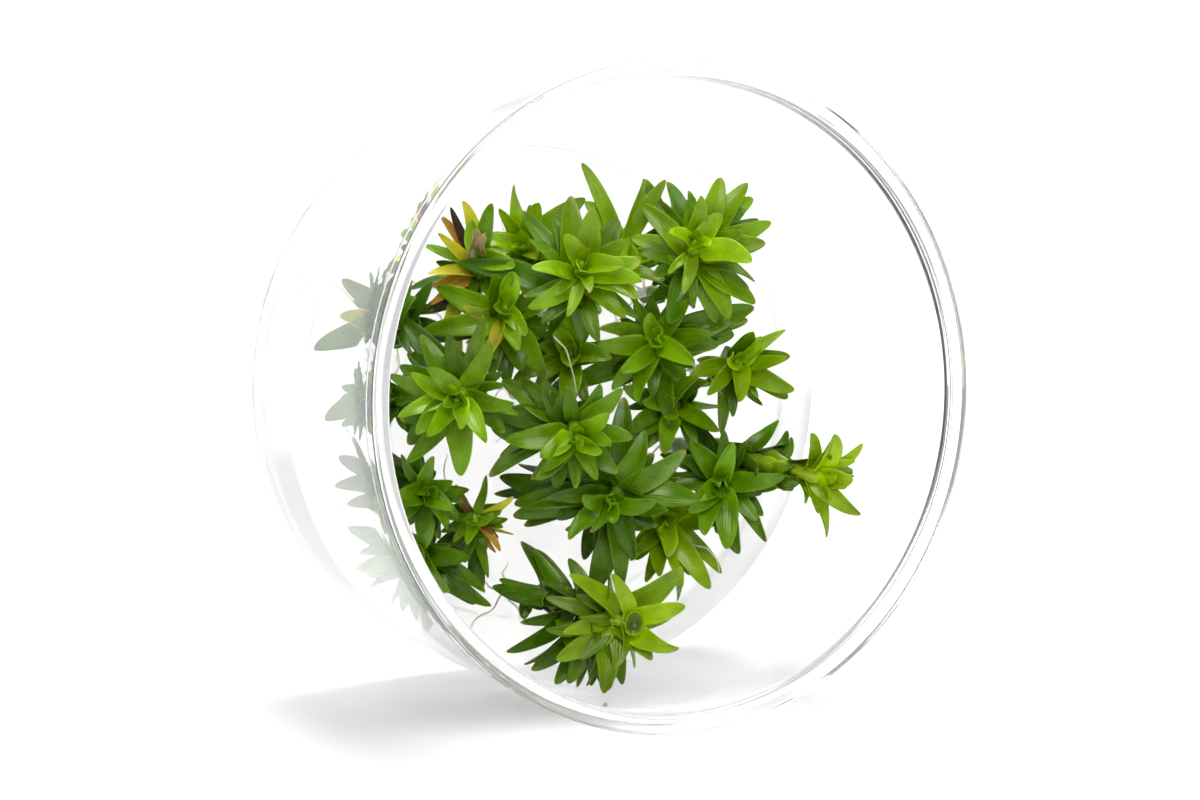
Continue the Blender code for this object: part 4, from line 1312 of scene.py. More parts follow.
            (160, 14.5, 9.0), (178, 14.4, 9.5), (190, 12.4, 8.5),
        ),
        filling=(
            (262, 7.0, 3.0, 1.3), (285, 7.5, 4.0, 1.2), (318, 6.5, 3.0, 1.2), (240, 6.0, 3.0, 1.2),
            (95, 5.5, 3.0), (345, 6.0, 3.5), (50, 5.0, 2.5),
        ),
        tone=Tone.DARK, leaf_length=8.5, slot="leaf_dark",
    ),
    Shoot(
        "shoot_small_old",
        root=(-18.0, -19.0), top=(-21.1, -18.7, 12.0),
        measured=(
            (76, 7.0, 1.0, 0.7), (31, 6.8, 1.5, 0.7), (20, 4.5, 1.0, 0.8), (324, 3.6, 2.0, 0.7),
            (308, 6.2, 2.5, 0.8), (274, 11.0, 7.0, 0.7), (281, 9.3, 5.0, 0.7), (120, 6.1, 3.0, 0.8),
        ),
        filling=(
            (170, 5.0, 2.0), (200, 5.5, 2.5, 1.1), (215, 8.0, 4.5), (230, 6.5, 3.5), (245, 8.5, 5.0),
            (255, 7.0, 4.0), (290, 5.0, 3.0), (345, 4.5, 2.5, 0.8), (2, 4.0, 2.0, 0.8),
            (262, 9.5, 6.0, 0.8), (320, 4.5, 4.0, 0.8), (300, 6.0, 4.5, 0.6), (338, 6.2, 3.5, 0.5),
        ),
        tone=Tone.MID, leaf_length=6.5, slot="leaf_old",
        tints={
            1: Tone.YELLOW, 3: Tone.BROWN, 4: Tone.ORANGE, 7: Tone.BROWN, 19: Tone.ORANGE, 20: Tone.YELLOW,
        },
        bud=0.7,
    ),
    Shoot(
        "shoot_left_upper",
        root=(-26.0, 11.0), top=(-33.1, 11.6, 12.0),
        measured=(
            (139, 10.0, 1.5), (112, 8.2, 1.0), (172, 7.6, 1.0), (191, 7.6, 2.5), (197, 12.7, 3.0, 1.1),
            (82, 5.3, 2.0), (48, 8.5, 2.5), (67, 7.0, 1.5),
        ),
        filling=(
            (150, 7.0, 3.0), (30, 6.0, 3.0), (345, 5.5, 3.0), (100, 6.5, 3.5),
        ),
        tone=Tone.WALL, slot="leaf_dark",
        tints={2: Tone.YELLOW},
    ),
    Shoot(
        "shoot_left_wall",
        root=(-28.0, -2.0), top=(-34.5, 0.8, 13.0),
        measured=(
            (166, 6.9, 1.0), (199, 10.2, 2.0, 1.1), (214, 6.9, 3.0), (248, 6.8, 2.0), (292, 5.2, 3.0),
        ),
        filling=(
            (120, 6.0, 3.0), (180, 7.5, 4.0), (225, 8.0, 4.0), (60, 5.5, 3.0),
        ),
        tone=Tone.WALL, slot="leaf_dark",
    ),
    Shoot(
        "shoot_lower_left_wall",
        root=(-26.0, -24.0), top=(-30.5, -23.4, 11.0),
        measured=(
            (159, 11.4, 4.0), (193, 10.3, 2.0), (202, 7.8, 3.0), (242, 9.0, 2.5), (258, 8.5, 1.5),
            (277, 11.8, 3.0), (269, 10.1, 4.5), (324, 13.6, 5.0, 0.7), (330, 11.7, 4.0, 0.7),
            (315, 7.5, 2.0),
        ),
        filling=(
            (318, 11.5, 4.5, 1.1), (215, 9.0, 4.0), (178, 8.5, 3.5), (300, 8.5, 4.0), (345, 6.5, 3.0),
            (15, 5.5, 3.0), (120, 5.5, 3.5),
        ),
        tone=Tone.DARK, slot="leaf_dark",
    ),
    Shoot(
        "shoot_upper_left",
        root=(-16.0, 15.0), top=(-18.1, 20.4, 10.0),
        measured=(
            (105, 9.6, 2.0, 0.7), (117, 9.2, 1.5, 0.65), (130, 9.0, 2.5, 0.55), (145, 7.2, 2.0, 0.55),
            (164, 8.5, 1.0), (195, 7.6, 2.5, 0.7), (222, 9.8, 3.0, 0.7), (243, 12.5, 4.0, 0.75),
            (96, 4.6, 1.0), (66, 3.7, 1.0),
        ),
        filling=(
            (219, 12.5, 5.0, 1.2), (201, 11.5, 5.5, 0.9), (260, 7.0, 3.0), (285, 6.5, 3.0), (180, 6.5, 3.5),
            (330, 6.0, 3.0), (71, 4.3, 1.5, 0.8), (225, 10.6, 5.0, 0.7), (236, 9.0, 4.5, 0.8),
            (208, 8.0, 4.0, 0.8),
        ),
        tone=Tone.MID, slot="leaf_old",
        tints={
            0: Tone.YELLOW, 1: Tone.PURPLE, 2: Tone.ORANGE, 3: Tone.YELLOW, 5: Tone.YELLOW, 6: Tone.ORANGE,
            7: Tone.YELLOW, 8: Tone.PALE, 9: Tone.PALE, 16: Tone.PALE, 17: Tone.PURPLE, 18: Tone.YELLOW,
            19: Tone.ORANGE,
        },
    ),
    Shoot(
        "shoot_top_back",
        root=(-6.0, 20.0), top=(-10.1, 21.9, 10.0),
        measured=(
            (100, 10.1, 1.0), (122, 7.2, 1.5), (72, 7.3, 1.0), (41, 12.1, 2.0), (279, 9.3, 3.0),
        ),
        filling=(
            (255, 7.0, 3.0), (330, 7.5, 3.0), (15, 7.0, 3.0), (85, 7.0, 3.0, 1.2),
        ),
    ),
    Shoot(
        "shoot_top_middle",
        root=(2.0, 16.0), top=(4.5, 19.5, 15.0),
        measured=(
            (114, 16.8, 1.5, 0.6), (124, 11.2, 1.0), (78, 13.3, 1.5, 0.8), (64, 14.1, 2.0, 0.8),
            (330, 9.0, 2.5), (285, 9.0, 3.0),
        ),
        filling=(
            (200, 6.5, 3.0), (240, 7.5, 4.0), (45, 8.0, 4.0), (150, 7.0, 3.0),
        ),
    ),
    Shoot(
        "shoot_left_back",
        root=(-13.5, 8.5), top=(-16.6, 12.9, 15.0),
        measured=(
            (194, 13.0, 2.0), (160, 11.0, 2.5), (252, 7.7, 1.0), (294, 6.5, 1.0), (303, 12.0, 2.5),
            (75, 6.0, 1.5),
        ),
        filling=(
            (259, 10.0, 3.5, 1.2), (287, 9.4, 3.5, 1.3), (273, 10.9, 4.5, 1.2), (105, 5.5, 2.0, 1.3),
            (199, 12.6, 5.0, 1.2), (30, 6.5, 3.0, 1.1), (340, 7.5, 3.5, 1.1), (235, 8.0, 4.0, 1.2),
            (198, 8.8, 4.5, 0.9), (174, 6.2, 3.5), (232, 6.5, 4.0, 1.1), (220, 7.5, 5.0, 0.8),
            (262, 5.0, 3.0, 0.9),
        ),
        tone=Tone.MID, slot="leaf_old",
        tints={
            2: Tone.YELLOW, 14: Tone.ORANGE, 15: Tone.YELLOW, 16: Tone.YELLOW, 17: Tone.BROWN,
            18: Tone.YELLOW,
        },
    ),
    Shoot(
        "shoot_middle_back",
        root=(-1.0, 4.0), top=(-4.0, 5.5, 12.0),
        measured=(
            (95, 8.0, 1.0), (150, 9.0, 2.0), (205, 9.5, 2.0), (262, 9.0, 1.5), (20, 7.0, 2.0),
        ),
        filling=(
            (60, 7.0, 3.0, 1.1), (120, 8.0, 3.0, 1.1), (230, 8.5, 3.5, 1.1), (290, 8.0, 3.0, 1.1),
            (180, 8.0, 3.0, 1.1), (325, 7.5, 3.0),
        ),
        tone=Tone.MID, slot="leaf_dark",
    ),
    Shoot(
        "shoot_right_back",
        root=(19.0, -4.0), top=(13.0, -3.0, 13.0),
        measured=(
            (80, 8.0, 1.0), (160, 8.0, 1.5), (215, 9.0, 2.0), (262, 8.0, 2.0), (330, 8.5, 2.0),
        ),
        filling=(
            (186, 7.0, 3.0, 0.9), (30, 6.5, 2.5, 1.2), (120, 7.0, 3.0, 1.1), (240, 8.0, 3.0, 1.1),
            (300, 7.5, 3.0, 1.1), (350, 7.0, 3.0, 1.1),
        ),
        tone=Tone.MID, slot="leaf_dark",
    ),
)


RANGE_SOCKETS = ("From Min", "From Max", "To Min", "To Max")


class Nodes:
    """A material's node tree, with short ways to add to it."""

    def __init__(self, name: str) -> None:
        """Starts a material with one Principled shader.

        Args:
            name: the material's name.
        """
        self.material = bpy.data.materials.new(name)
        self.material.use_nodes = True
        self.tree = self.material.node_tree
        self.shader = self.tree.nodes["Principled BSDF"]
        self.output = self.tree.nodes["Material Output"]

    def add(self, kind: str, **settings: object) -> bpy.types.Node:
        """Adds a node.

        Args:
            kind: the node's type.
            settings: its properties by name.

        Returns:
            The node.
        """
        node = self.tree.nodes.new(kind)
        for key, value in settings.items():
            setattr(node, key, value)
        return node

    def link(self, source: bpy.types.NodeSocket, target: bpy.types.NodeSocket) -> None:
        """Joins two sockets."""
        self.tree.links.new(source, target)

    def set(self, **inputs: object) -> None:
        """Sets the shader's own sockets.

        Args:
            inputs: the values by socket name, with an underscore for each space.
        """
        for key, value in inputs.items():
            self.shader.inputs[key.replace("_", " ")].default_value = value

    def noise(self, source: bpy.types.NodeSocket, scale: float, detail: float = 2.0) -> bpy.types.NodeSocket:
        """A noise pattern.

        Args:
            source: the places at which it is read.
            scale: how fine it is.
            detail: how many finer layers it has.

        Returns:
            Its value.
        """
        node = self.add("ShaderNodeTexNoise")
        node.inputs["Scale"].default_value = scale
        node.inputs["Detail"].default_value = detail
        self.link(source, node.inputs["Vector"])
        return node.outputs["Fac"]

    def ramp(
        self, source: bpy.types.NodeSocket, low: float, high: float, first: float, last: float
    ) -> bpy.types.NodeSocket:
        """A value carried from one range to another and kept within it.

        Args:
            source: the value.
            low: where its range starts.
            high: where it ends.
            first: the result at low.
            last: the result at high.

        Returns:
            The result.
        """
        node = self.add("ShaderNodeMapRange")
        for key, value in zip(RANGE_SOCKETS, (low, high, first, last), strict=True):
            node.inputs[key].default_value = value
        self.link(source, node.inputs["Value"])
        return node.outputs["Result"]

    def math(
        self, kind: str, first: bpy.types.NodeSocket, second: float, third: bpy.types.NodeSocket | None = None
    ) -> bpy.types.NodeSocket:
        """A sum done on a value.

        Args:
            kind: the operation.
            first: the value.
            second: the number that it is done with.
            third: a value that some operations add.

        Returns:
            The result.
        """
        node = self.add("ShaderNodeMath", operation=kind)
        node.inputs[1].default_value = second
        self.link(first, node.inputs[0])
        if third is not None:
            self.link(third, node.inputs[2])
        return node.outputs["Value"]

    def scaled(self, colour: bpy.types.NodeSocket, factor: bpy.types.NodeSocket) -> bpy.types.NodeSocket:
        """A colour times a value.

        Args:
            colour: the colour.
            factor: the value.

        Returns:
            The product.
        """
        node = self.add("ShaderNodeVectorMath", operation="SCALE")
        self.link(colour, node.inputs[0])
        self.link(factor, node.inputs["Scale"])
        return node.outputs["Vector"]

    def bump(self, height: bpy.types.NodeSocket, strength: float, distance: float) -> bpy.types.NodeSocket:
        """A bump's normal.

        Args:
            height: the pattern that gives the height.
            strength: how strongly it shows.
            distance: the height in metres.

        Returns:
            The normal.
        """
        node = self.add("ShaderNodeBump")
        node.inputs["Strength"].default_value = strength
        node.inputs["Distance"].default_value = distance
        self.link(height, node.inputs["Height"])
        return node.outputs["Normal"]

    def finish(self, other: bpy.types.Node, share: float | bpy.types.NodeSocket) -> bpy.types.Material:
        """Mixes the shader with another one and ends the material with the two.

        Args:
            other: the other shader's node.
            share: its share, as a number or a socket.

        Returns:
            The material.
        """
        mix = self.add("ShaderNodeMixShader")
        if isinstance(share, float):
            mix.inputs["Fac"].default_value = share
        else:
            self.link(share, mix.inputs["Fac"])
        self.link(self.shader.outputs["BSDF"], mix.inputs[1])
        self.link(other.outputs["BSDF"], mix.inputs[2])
        self.link(mix.outputs["Shader"], self.output.inputs["Surface"])
        return self.material


@dataclass(frozen=True)
class LeafFinish:
    """A thin moist leaf: its own tone with fine lengthwise veins, a soft gloss, and light coming through."""

    name: str = "leaf"
    roughness: float = 0.24
    gloss: tuple[float, float] = (0.18, 0.34)
    specular: float = 0.4
    sheen_tint: tuple[float, float, float, float] = (0.85, 1.0, 0.35, 1.0)
    coat: tuple[float, float] = (0.35, 0.15)
    veins: float = 8.0
    vein_stray: float = 1.6
    stray_scale: tuple[float, float, float] = (2.5, 1.2, 1.0)
    vein_width: float = 0.16
    vein_light: tuple[float, float] = (1.34, 0.95)
    vein_depth: float = 0.00012
    vein_strength: float = 0.5
    cloud_scale: float = 260.0
    cloud_shade: tuple[float, float] = (0.74, 1.18)
    through: float = 0.30
    through_tint: tuple[float, float, float] = (1.5, 1.3, 0.5)

    def build(self) -> bpy.types.Material:
        """Makes the material.

        Returns:
            The material.
        """
        nodes = Nodes(self.name)
        nodes.set(
            Roughness=self.roughness,
            Specular_IOR_Level=self.specular,
            Specular_Tint=self.sheen_tint,
            Coat_Weight=self.coat[0],
            Coat_Roughness=self.coat[1],
        )
        tone = nodes.add("ShaderNodeAttribute", attribute_name="tone")
        chart = nodes.add("ShaderNodeUVMap", uv_map="leaf").outputs["UV"]
        stretch = nodes.add("ShaderNodeMapping")
        stretch.inputs["Scale"].default_value = self.stray_scale
        nodes.link(chart, stretch.inputs["Vector"])
        stray = nodes.ramp(nodes.noise(stretch.outputs["Vector"], 1.0, 1.0), 0.0, 1.0, 0.0, self.vein_stray)
        parts = nodes.add("ShaderNodeSeparateXYZ")
        nodes.link(chart, parts.inputs["Vector"])
        across = nodes.math("MULTIPLY_ADD", parts.outputs["X"], self.veins, stray)
        apart = nodes.math("PINGPONG", across, 0.5)
        line = nodes.ramp(apart, 0.0, self.vein_width, *self.vein_light)
        streak = nodes.add("ShaderNodeMix")
        streak.inputs["A"].default_value = 1.0
        nodes.link(tone.outputs["Alpha"], streak.inputs["Factor"])
        nodes.link(line, streak.inputs["B"])
        place = nodes.add("ShaderNodeTexCoord").outputs["Object"]
        cloud = nodes.noise(place, self.cloud_scale, 3.0)
        shade = nodes.ramp(cloud, 0.3, 0.7, *self.cloud_shade)
        colour = nodes.scaled(nodes.scaled(tone.outputs["Color"], streak.outputs["Result"]), shade)
        nodes.link(colour, nodes.shader.inputs["Base Color"])
        nodes.link(nodes.ramp(cloud, 0.35, 0.65, *self.gloss), nodes.shader.inputs["Roughness"])
        normal = nodes.bump(apart, self.vein_strength, self.vein_depth)
        nodes.link(normal, nodes.shader.inputs["Normal"])
        glow = nodes.add("ShaderNodeBsdfTranslucent")
        warmer = nodes.add("ShaderNodeVectorMath", operation="MULTIPLY")
        warmer.inputs[1].default_value = self.through_tint
        nodes.link(colour, warmer.inputs[0])
        nodes.link(warmer.outputs["Vector"], glow.inputs["Color"])
        return nodes.finish(glow, self.through)


@dataclass(frozen=True)
class ClearFinish:
    """A clear material that bends light: moulded plastic or wet gel, which lets lamps through."""

    name: str
    ior: float
    tint: tuple[float, float, float] = (1.0, 1.0, 1.0)
    roughness: float = 0.0
    wave: float = 0.0
    wave_scale: float = 60.0
    wave_strength: float = 0.4
    lamp_share: float = 0.76
    edge_share: float = 0.35
    clear: float = 1.0
    # painted light: glow makes the clear body give off a faint light of its own, standing in for light
    # scattered inside it
    glow: float = 0.0
    # painted reflection: the side of the mouth toward which a band's dark tint takes hold, with a lighter
    # grey painted on the other side
    painted_reflection_side: tuple[float, float] | None = None
    side_run: tuple[float, float] = (0.002, 0.036)
    other_side_painted_tint: tuple[float, float, float] = (0.80, 0.81, 0.83)

    def build(self) -> bpy.types.Material:
        """Makes the material: one shader for what is seen, and a plain clear one for rays towards the light.

        Returns:
            The material.
        """
        nodes = Nodes(self.name)
        nodes.set(Transmission_Weight=self.clear, IOR=self.ior, Roughness=self.roughness)
        nodes.shader.inputs["Base Color"].default_value = (*self.tint, 1.0)
        # painted light: a faint white glow standing in for scattered light
        if self.glow:
            nodes.set(Emission_Color=(1.0, 1.0, 1.0, 1.0), Emission_Strength=self.glow)
        if self.painted_reflection_side is not None:
            self.paint_reflection_on_side(nodes)
        if self.wave:
            place = nodes.add("ShaderNodeTexCoord").outputs["Object"]
            height = nodes.noise(place, self.wave_scale)
            nodes.link(nodes.bump(height, self.wave_strength, self.wave), nodes.shader.inputs["Normal"])
        clear = nodes.add("ShaderNodeBsdfTransparent")
        edge = nodes.add("ShaderNodeLayerWeight")
        edge.inputs["Blend"].default_value = 0.35
        through = (self.lamp_share, self.lamp_share * self.edge_share)
        shade = nodes.ramp(edge.outputs["Facing"], 0.0, 1.0, *through)
        nodes.link(shade, clear.inputs["Color"])
        return nodes.finish(clear, nodes.add("ShaderNodeLightPath").outputs["Is Shadow Ray"])

    def paint_reflection_on_side(self, nodes: Nodes) -> None:
        """Paints the dark tint toward one side of the mouth only, as a painted reflection of the room's dark,
        and a lighter painted grey on the other.

        Args:
            nodes: the material's nodes.
        """
        across, up = self.painted_reflection_side
        aim = RIGHT * across + UPWARD * up
        apart = nodes.add("ShaderNodeVectorMath", operation="SUBTRACT")
        nodes.link(nodes.add("ShaderNodeTexCoord").outputs["Object"], apart.inputs[0])
        apart.inputs[1].default_value = Vector(AXES.mouth * MM)
        along = nodes.add("ShaderNodeVectorMath", operation="DOT_PRODUCT")
        nodes.link(apart.outputs["Vector"], along.inputs[0])
        along.inputs[1].default_value = Vector(aim).normalized()
        share = nodes.ramp(along.outputs["Value"], *self.side_run, 0.0, 1.0)
        blend = nodes.add("ShaderNodeMix", data_type="RGBA")
        nodes.link(share, blend.inputs["Factor"])
        colour_a, colour_b = (socket for socket in blend.inputs if socket.type == "RGBA")
        colour_a.default_value = (*self.other_side_painted_tint, 1.0)
        colour_b.default_value = (*self.tint, 1.0)
        mixed = next(socket for socket in blend.outputs if socket.type == "RGBA")
        nodes.link(mixed, nodes.shader.inputs["Base Color"])


# painted light: the plastic glows faintly, standing in for light scattered in it
PLASTIC = ClearFinish("clear_plastic", ior=1.50, tint=(0.945, 0.95, 0.958), glow=0.025)
# painted reflection: a dark band on the ledge inside the rim, darkest toward one side, stands in for the
# room's dark seen in the rim
RIM_PAINTED_REFLECTION = ClearFinish(
    "rim_painted_reflection", ior=1.50, tint=(0.03, 0.031, 0.033), roughness=0.35, clear=0.7, painted_reflection_side=(0.97, 0.24)
)
# painted reflection: a dark grey band round the rim's outer edge stands in for the room's dark seen in it
RIM_EDGE_PAINTED_REFLECTION = ClearFinish("rim_edge_painted_reflection", ior=1.50, tint=(0.13, 0.135, 0.15), roughness=0.80, clear=0.2)
# painted light: the gel glows faintly, standing in for light scattered in it
AGAR = ClearFinish(
    "agar_gel", ior=1.33, tint=(0.992, 0.985, 0.975), roughness=0.12, wave=0.0004, wave_scale=45.0,
    clear=0.70, glow=0.05,
)


def rounded(corners: list[tuple[float, float, float]], steps: int = 6) -> np.ndarray:
    """A line through corners, each cut by an arc of its own radius.

    The arc is drawn as a quadratic curve between the points that lie a radius before and after the corner.

    Args:
        corners: (distance from the axis, height, radius) of each.
        steps: how many runs an arc has.

    Returns:
        Points as (point, 2).
    """
    points = []
    for place, (x, y, radius) in enumerate(corners):
        here = np.array([x, y])
        if radius == 0.0 or place in (0, len(corners) - 1):
            points.append(here)
            continue
        before, after = np.array(corners[place - 1][:2]), np.array(corners[place + 1][:2])
        first = here + unit(before - here) * radius
        last = here + unit(after - here) * radius
        for t in np.linspace(0.0, 1.0, steps + 1):
            points.append(curve(first, here, last, t))
    return np.array(points)


def braced(points: np.ndarray, margin: float = 0.03, shortest: float = 0.3) -> np.ndarray:
    """A line with points added near both ends of each long run, which keep its smooth shading straight.

    Args:
        points: the line, as (point, 2).
        margin: how far the added points lie from the ends.
        shortest: the least length of a run that gets them.

    Returns:
        Points as (point, 2).
    """
    line = [points[0]]
    for before, after in zip(points[:-1], points[1:], strict=True):
        length = np.linalg.norm(after - before)
        if length > shortest:
            aside = (after - before) * margin / length
            line += [before + aside, after - aside]
        line.append(after)
    return np.array(line)


def turned_mesh(
    name: str, profile: np.ndarray, around: int, bands: Sequence[tuple[float, ...]] = ()
) -> bpy.types.Mesh:
    """A closed solid of revolution round the cup's axis.

    Args:
        name: the mesh's name.
        profile: points as (distance from the axis, height), both ends on the axis.
        around: how many steps go round.
        bands: the runs of the profile that take another material, each as its number, the least and the most
            distance from the axis, and the least and the most height of a run's middle.

    Returns:
        The mesh.
    """
    rings = AXES.turned(profile[1:-1, 0], profile[1:-1, 1], around)[None]
    ends = np.stack([AXES.base + AXES.axis * profile[k, 1] for k in (0, -1)])[None]
    parts = MeshParts()
    parts.add_tubes(rings, ends, np.zeros((*rings.shape[:3], 2)), np.ones((*rings.shape[:3], 4)))
    mesh = parts.fill(name)
    middle = (profile[1:-2] + profile[2:-1]) / 2
    marked = np.zeros(len(middle), dtype=np.int32)
    for number, near, far, low, high in bands:
        here = (middle[:, 0] > near) & (middle[:, 0] < far) & (middle[:, 1] > low) & (middle[:, 1] < high)
        marked[here] = number
    index = np.zeros(len(mesh.polygons), dtype=np.int32)
    index[: len(middle) * around] = np.repeat(marked, around)
    mesh.polygons.foreach_set("material_index", index)
    return mesh


@dataclass
class Cup:
    """The thin clear cup: a flat foot disc, a round corner, a tapered wall and a thick rim."""

    wall: float = 1.0
    wall_top: float = 48.5
    mouth: float = 47.3
    seat: float = 1.9
    seat_step: float = 0.04
    ledge: float = 46.92
    ledge_cut: float = 0.05
    thick_depth: float = 7.0
    floor_top: float = 2.2
    foot_step: float = 0.8
    foot_flare: float = 0.5
    foot_draw: float = 0.06
    line_height: float = 0.1
    edge_depth: float = 0.08
    # painted reflection: the heights, below the top, of the dark bands round the rim's outer edge
    painted_edge_lines: tuple[tuple[float, float], ...] = ((-0.55, -0.2), (-2.8, -2.45))
    around: int = 640

    def profile(self) -> np.ndarray:
        """The cup's outline, from the middle of the base out, up to the rim, and down the inside.

        Each corner is (distance from the axis, height, radius).

        Returns:
            Points as (point, 2).
        """
        under_rim = AXES.height - AXES.rim_depth
        foot, wall_foot = AXES.foot, AXES.wall_foot
        inner_top, inner_foot = self.wall_top - self.wall, wall_foot - self.wall
        seat = AXES.height - self.seat
        return rounded(
            [
                (0.0, 0.0, 0.0),
                (foot, 0.0, 0.35),
                (foot + self.foot_flare, self.foot_step, 0.35),
                (wall_foot - self.foot_draw, self.foot_step, 2.4),
                (self.wall_top, under_rim, 0.35),
                (AXES.rim, under_rim + 0.1, 0.45),
                (AXES.rim, AXES.height, 0.55),
                (self.mouth, AXES.height, 0.5),
                (self.mouth + 0.1, seat, 0.0),
                (self.mouth, seat - self.seat_step, 0.0),
                (self.ledge + self.ledge_cut, seat - self.seat_step, 0.0),
                (self.ledge, seat - self.line_height, 0.0),
                (inner_top, under_rim - self.thick_depth, 2.0),
                (inner_foot, self.floor_top, 2.2),
                (0.0, self.floor_top, 0.0),
            ]
        )

    def build(self) -> None:
        """Makes the cup in place of its solid, with dark lines painted on its rim as a painted reflection of
        the room's dark.
        """
        top, seat = AXES.height, AXES.height - self.seat
        rim_side = (AXES.rim - self.edge_depth, AXES.rim + 0.1)
        # painted reflection: the ledge band and the two bands round the rim's outer edge take dark painted
        # tints
        bands = [(1, self.ledge, self.mouth + 0.15, seat - self.line_height, seat)]
        bands += [(2, *rim_side, top + low, top + high) for low, high in self.painted_edge_lines]
        mesh = turned_mesh("clear_cup", braced(self.profile()), self.around, bands)
        piece = new_piece("clear_cup", mesh, PLASTIC.build(), RIM_PAINTED_REFLECTION.build(), RIM_EDGE_PAINTED_REFLECTION.build())
        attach(piece, "root")
        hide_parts("cup")
        LOG.info("clear_cup: %d faces", len(piece.data.polygons))


@dataclass
class Gel:
    """The block of clear nutrient gel in the bottom of the cup, which wets the wall and creeps up it."""

    wall: float = 1.0
    wall_spread: float = 1.9
    floor_top: float = 2.2
    wetting: float = 0.15
    creep: float = 0.9
    around: int = 256

    def profile(self) -> np.ndarray:
        """The gel's outline, from the middle of its foot out, up the wall, and back over its top.

        Each corner is (distance from the axis, height, radius).

        Returns:
            Points as (point, 2).
        """
        wall_foot = AXES.wall_foot - self.wall + self.wetting
        rise = (AXES.gel_top - AXES.corner) / (AXES.height - AXES.rim_depth - AXES.corner)
        wall_top = wall_foot + self.wall_spread * rise
        foot = self.floor_top - self.wetting
        return rounded(
            [
                (0.0, foot, 0.0),
                (wall_foot, foot, 2.2),
                (wall_top, AXES.gel_top + self.creep, 0.1),
                (wall_top - self.creep, AXES.gel_top, 0.8),
                (0.0, AXES.gel_top, 0.0),
            ]
        )

    def build(self) -> None:
        """Makes the gel in place of its solid."""
        piece = new_piece("agar", turned_mesh("agar", braced(self.profile()), self.around), AGAR.build())
        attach(piece, "root")
        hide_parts("gel")
        LOG.info("agar: %d faces", len(piece.data.polygons))


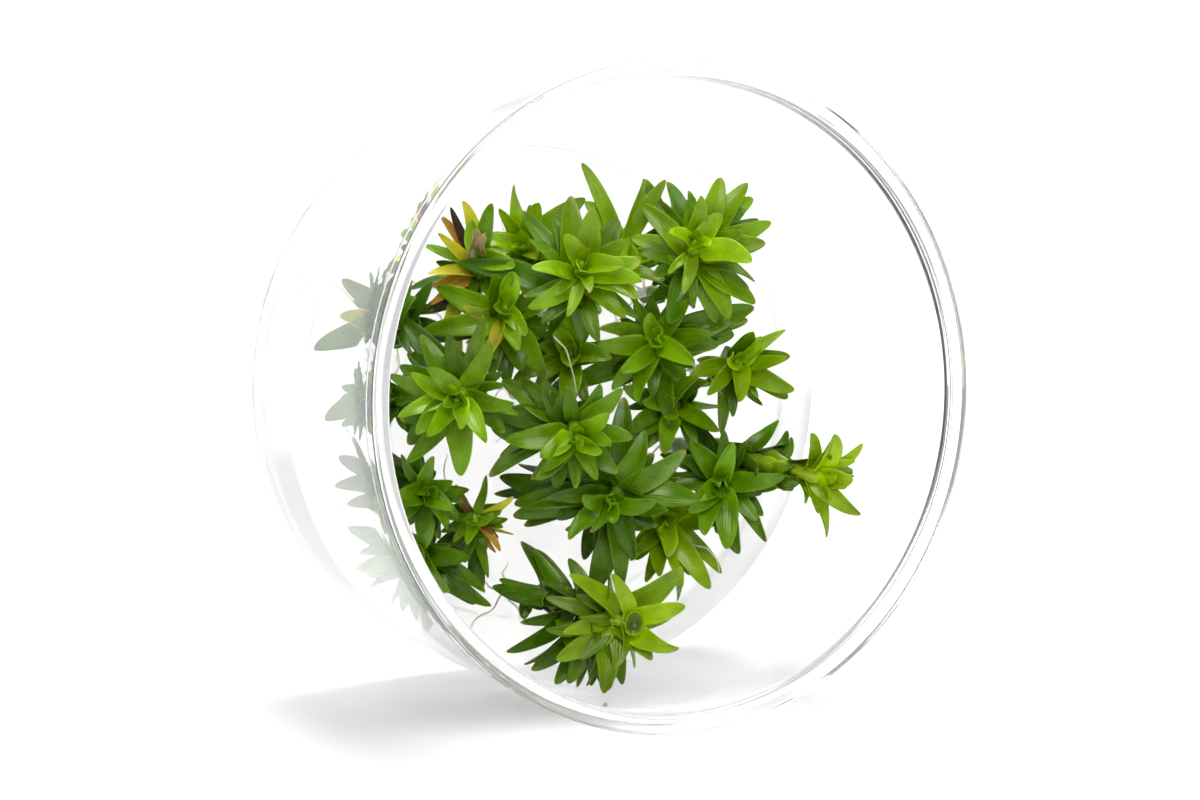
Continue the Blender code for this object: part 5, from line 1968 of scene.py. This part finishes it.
@dataclass
class Studio:
    """The floor, the light and the camera."""

    floor_half: float = 30.0
    floor_glow: float = 0.10
    sweep_aim: tuple[float, float, float] = (0.0, 0.98, 0.15)
    sweep: float = 1.10
    sweep_spread: tuple[float, float] = (0.60, 0.76)
    room: float = 0.30
    main_aim: tuple[float, float, float] = (0.22, 0.10, 0.97)
    main: float = 11.5
    fill_aim: tuple[float, float, float] = (-0.35, -0.75, 0.55)
    main_spread: tuple[float, float] = (0.930, 0.972)
    fill: float = 8.5
    fill_spread: tuple[float, float] = (0.955, 0.978)
    lens: float = 96.0
    sensor: float = 36.0
    focal_pixels: float = 3200.0
    offset_right: float = 84.8
    offset_up: float = 1.7
    bounces: int = 32
    clear_bounces: int = 24

    def floor(self) -> None:
        """A pale floor."""
        mesh = bpy.data.meshes.new("floor")
        size = self.floor_half
        corners = [(-size, -size, 0.0), (size, -size, 0.0), (size, size, 0.0), (-size, size, 0.0)]
        mesh.from_pydata(corners, [], [(0, 1, 2, 3)])
        nodes = Nodes("floor")
        nodes.set(Roughness=0.7, Specular_IOR_Level=0.2, Emission_Strength=self.floor_glow)
        nodes.shader.inputs["Base Color"].default_value = (0.80, 0.80, 0.80, 1.0)
        nodes.shader.inputs["Emission Color"].default_value = (1.0, 1.0, 1.0, 1.0)
        floor = new_piece("floor", mesh, nodes.material)

    def zone(
        self, tree: bpy.types.NodeTree, aim: tuple[float, float, float], spread: tuple[float, float],
        strengths: tuple[float, float],
    ) -> bpy.types.NodeSocket:
        """The light's strength round a direction: one outside it, another within, and smooth between.

        Args:
            tree: the world's nodes.
            aim: the direction.
            spread: the cosines of the angles at which it starts and is full.
            strengths: the strength outside and within.

        Returns:
            The strength.
        """
        where = tree.nodes.new("ShaderNodeTexCoord")
        along = tree.nodes.new("ShaderNodeVectorMath")
        along.operation = "DOT_PRODUCT"
        along.inputs[1].default_value = Vector(aim).normalized()
        tree.links.new(where.outputs["Generated"], along.inputs[0])
        ramp = tree.nodes.new("ShaderNodeMapRange")
        for key, value in zip(RANGE_SOCKETS, (*spread, *strengths), strict=True):
            ramp.inputs[key].default_value = value
        ramp.interpolation_type = "SMOOTHSTEP"
        tree.links.new(along.outputs["Value"], ramp.inputs["Value"])
        return ramp.outputs["Result"]

    def world(self) -> None:
        """A white sweep behind the object, a dim room round it, and two soft lamps: overhead and in front."""
        world = bpy.data.worlds.new("studio")
        world.use_nodes = True
        tree = world.node_tree
        background = tree.nodes["Background"]
        total = self.zone(tree, self.sweep_aim, self.sweep_spread, (self.room, self.sweep))
        lamps = ((self.main_aim, self.main_spread, self.main), (self.fill_aim, self.fill_spread, self.fill))
        for aim, spread, strength in lamps:
            both = tree.nodes.new("ShaderNodeMath")
            tree.links.new(total, both.inputs[0])
            tree.links.new(self.zone(tree, aim, spread, (0.0, strength)), both.inputs[1])
            total = both.outputs["Value"]
        tree.links.new(total, background.inputs["Strength"])
        background.inputs["Color"].default_value = (1.0, 1.0, 1.0, 1.0)
        bpy.context.scene.world = world

    def camera(self) -> None:
        """The camera, at the photo's angle: its middle pixel's ray lies a little left of the mouth."""
        data = bpy.data.cameras.new("camera")
        data.lens, data.sensor_width, data.sensor_fit = self.lens, self.sensor, "HORIZONTAL"
        data.clip_start, data.clip_end = 0.01, 100.0
        camera = bpy.data.objects.new("camera", data)
        camera.location = Vector((AXES.mouth - LOOK * VIEW_DISTANCE) * MM)
        right, up = self.offset_right / self.focal_pixels, self.offset_up / self.focal_pixels
        aim = LOOK - RIGHT * right - UPWARD * up
        camera.rotation_euler = Vector(aim).to_track_quat("-Z", "Y").to_euler()
        bpy.context.scene.collection.objects.link(camera)
        bpy.context.scene.camera = camera

    def build(self) -> None:
        """Sets up the floor, the light and the camera, and lets light pass many clear surfaces."""
        self.floor()
        self.world()
        self.camera()
        scene = bpy.context.scene
        scene.view_settings.view_transform = "Standard"
        scene.cycles.max_bounces = self.bounces
        scene.cycles.glossy_bounces = self.clear_bounces
        scene.cycles.transmission_bounces = self.clear_bounces
        scene.cycles.transparent_max_bounces = self.clear_bounces


def main() -> None:
    """Builds the cup, the gel and the shoots round the frame, and sets up the studio."""
    logging.basicConfig(level=logging.INFO, format="%(name)s: %(message)s")
    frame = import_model()
    Cup().build()
    Gel().build()
    finish = LeafFinish().build()
    shape = LeafShape()
    for seed, shoot in enumerate(SHOOTS, 1):
        shoot.build(frame["nodes"][shoot.name], shape, finish, seed)
    Studio().build()
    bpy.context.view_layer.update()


if __name__ == "__main__":
    main()
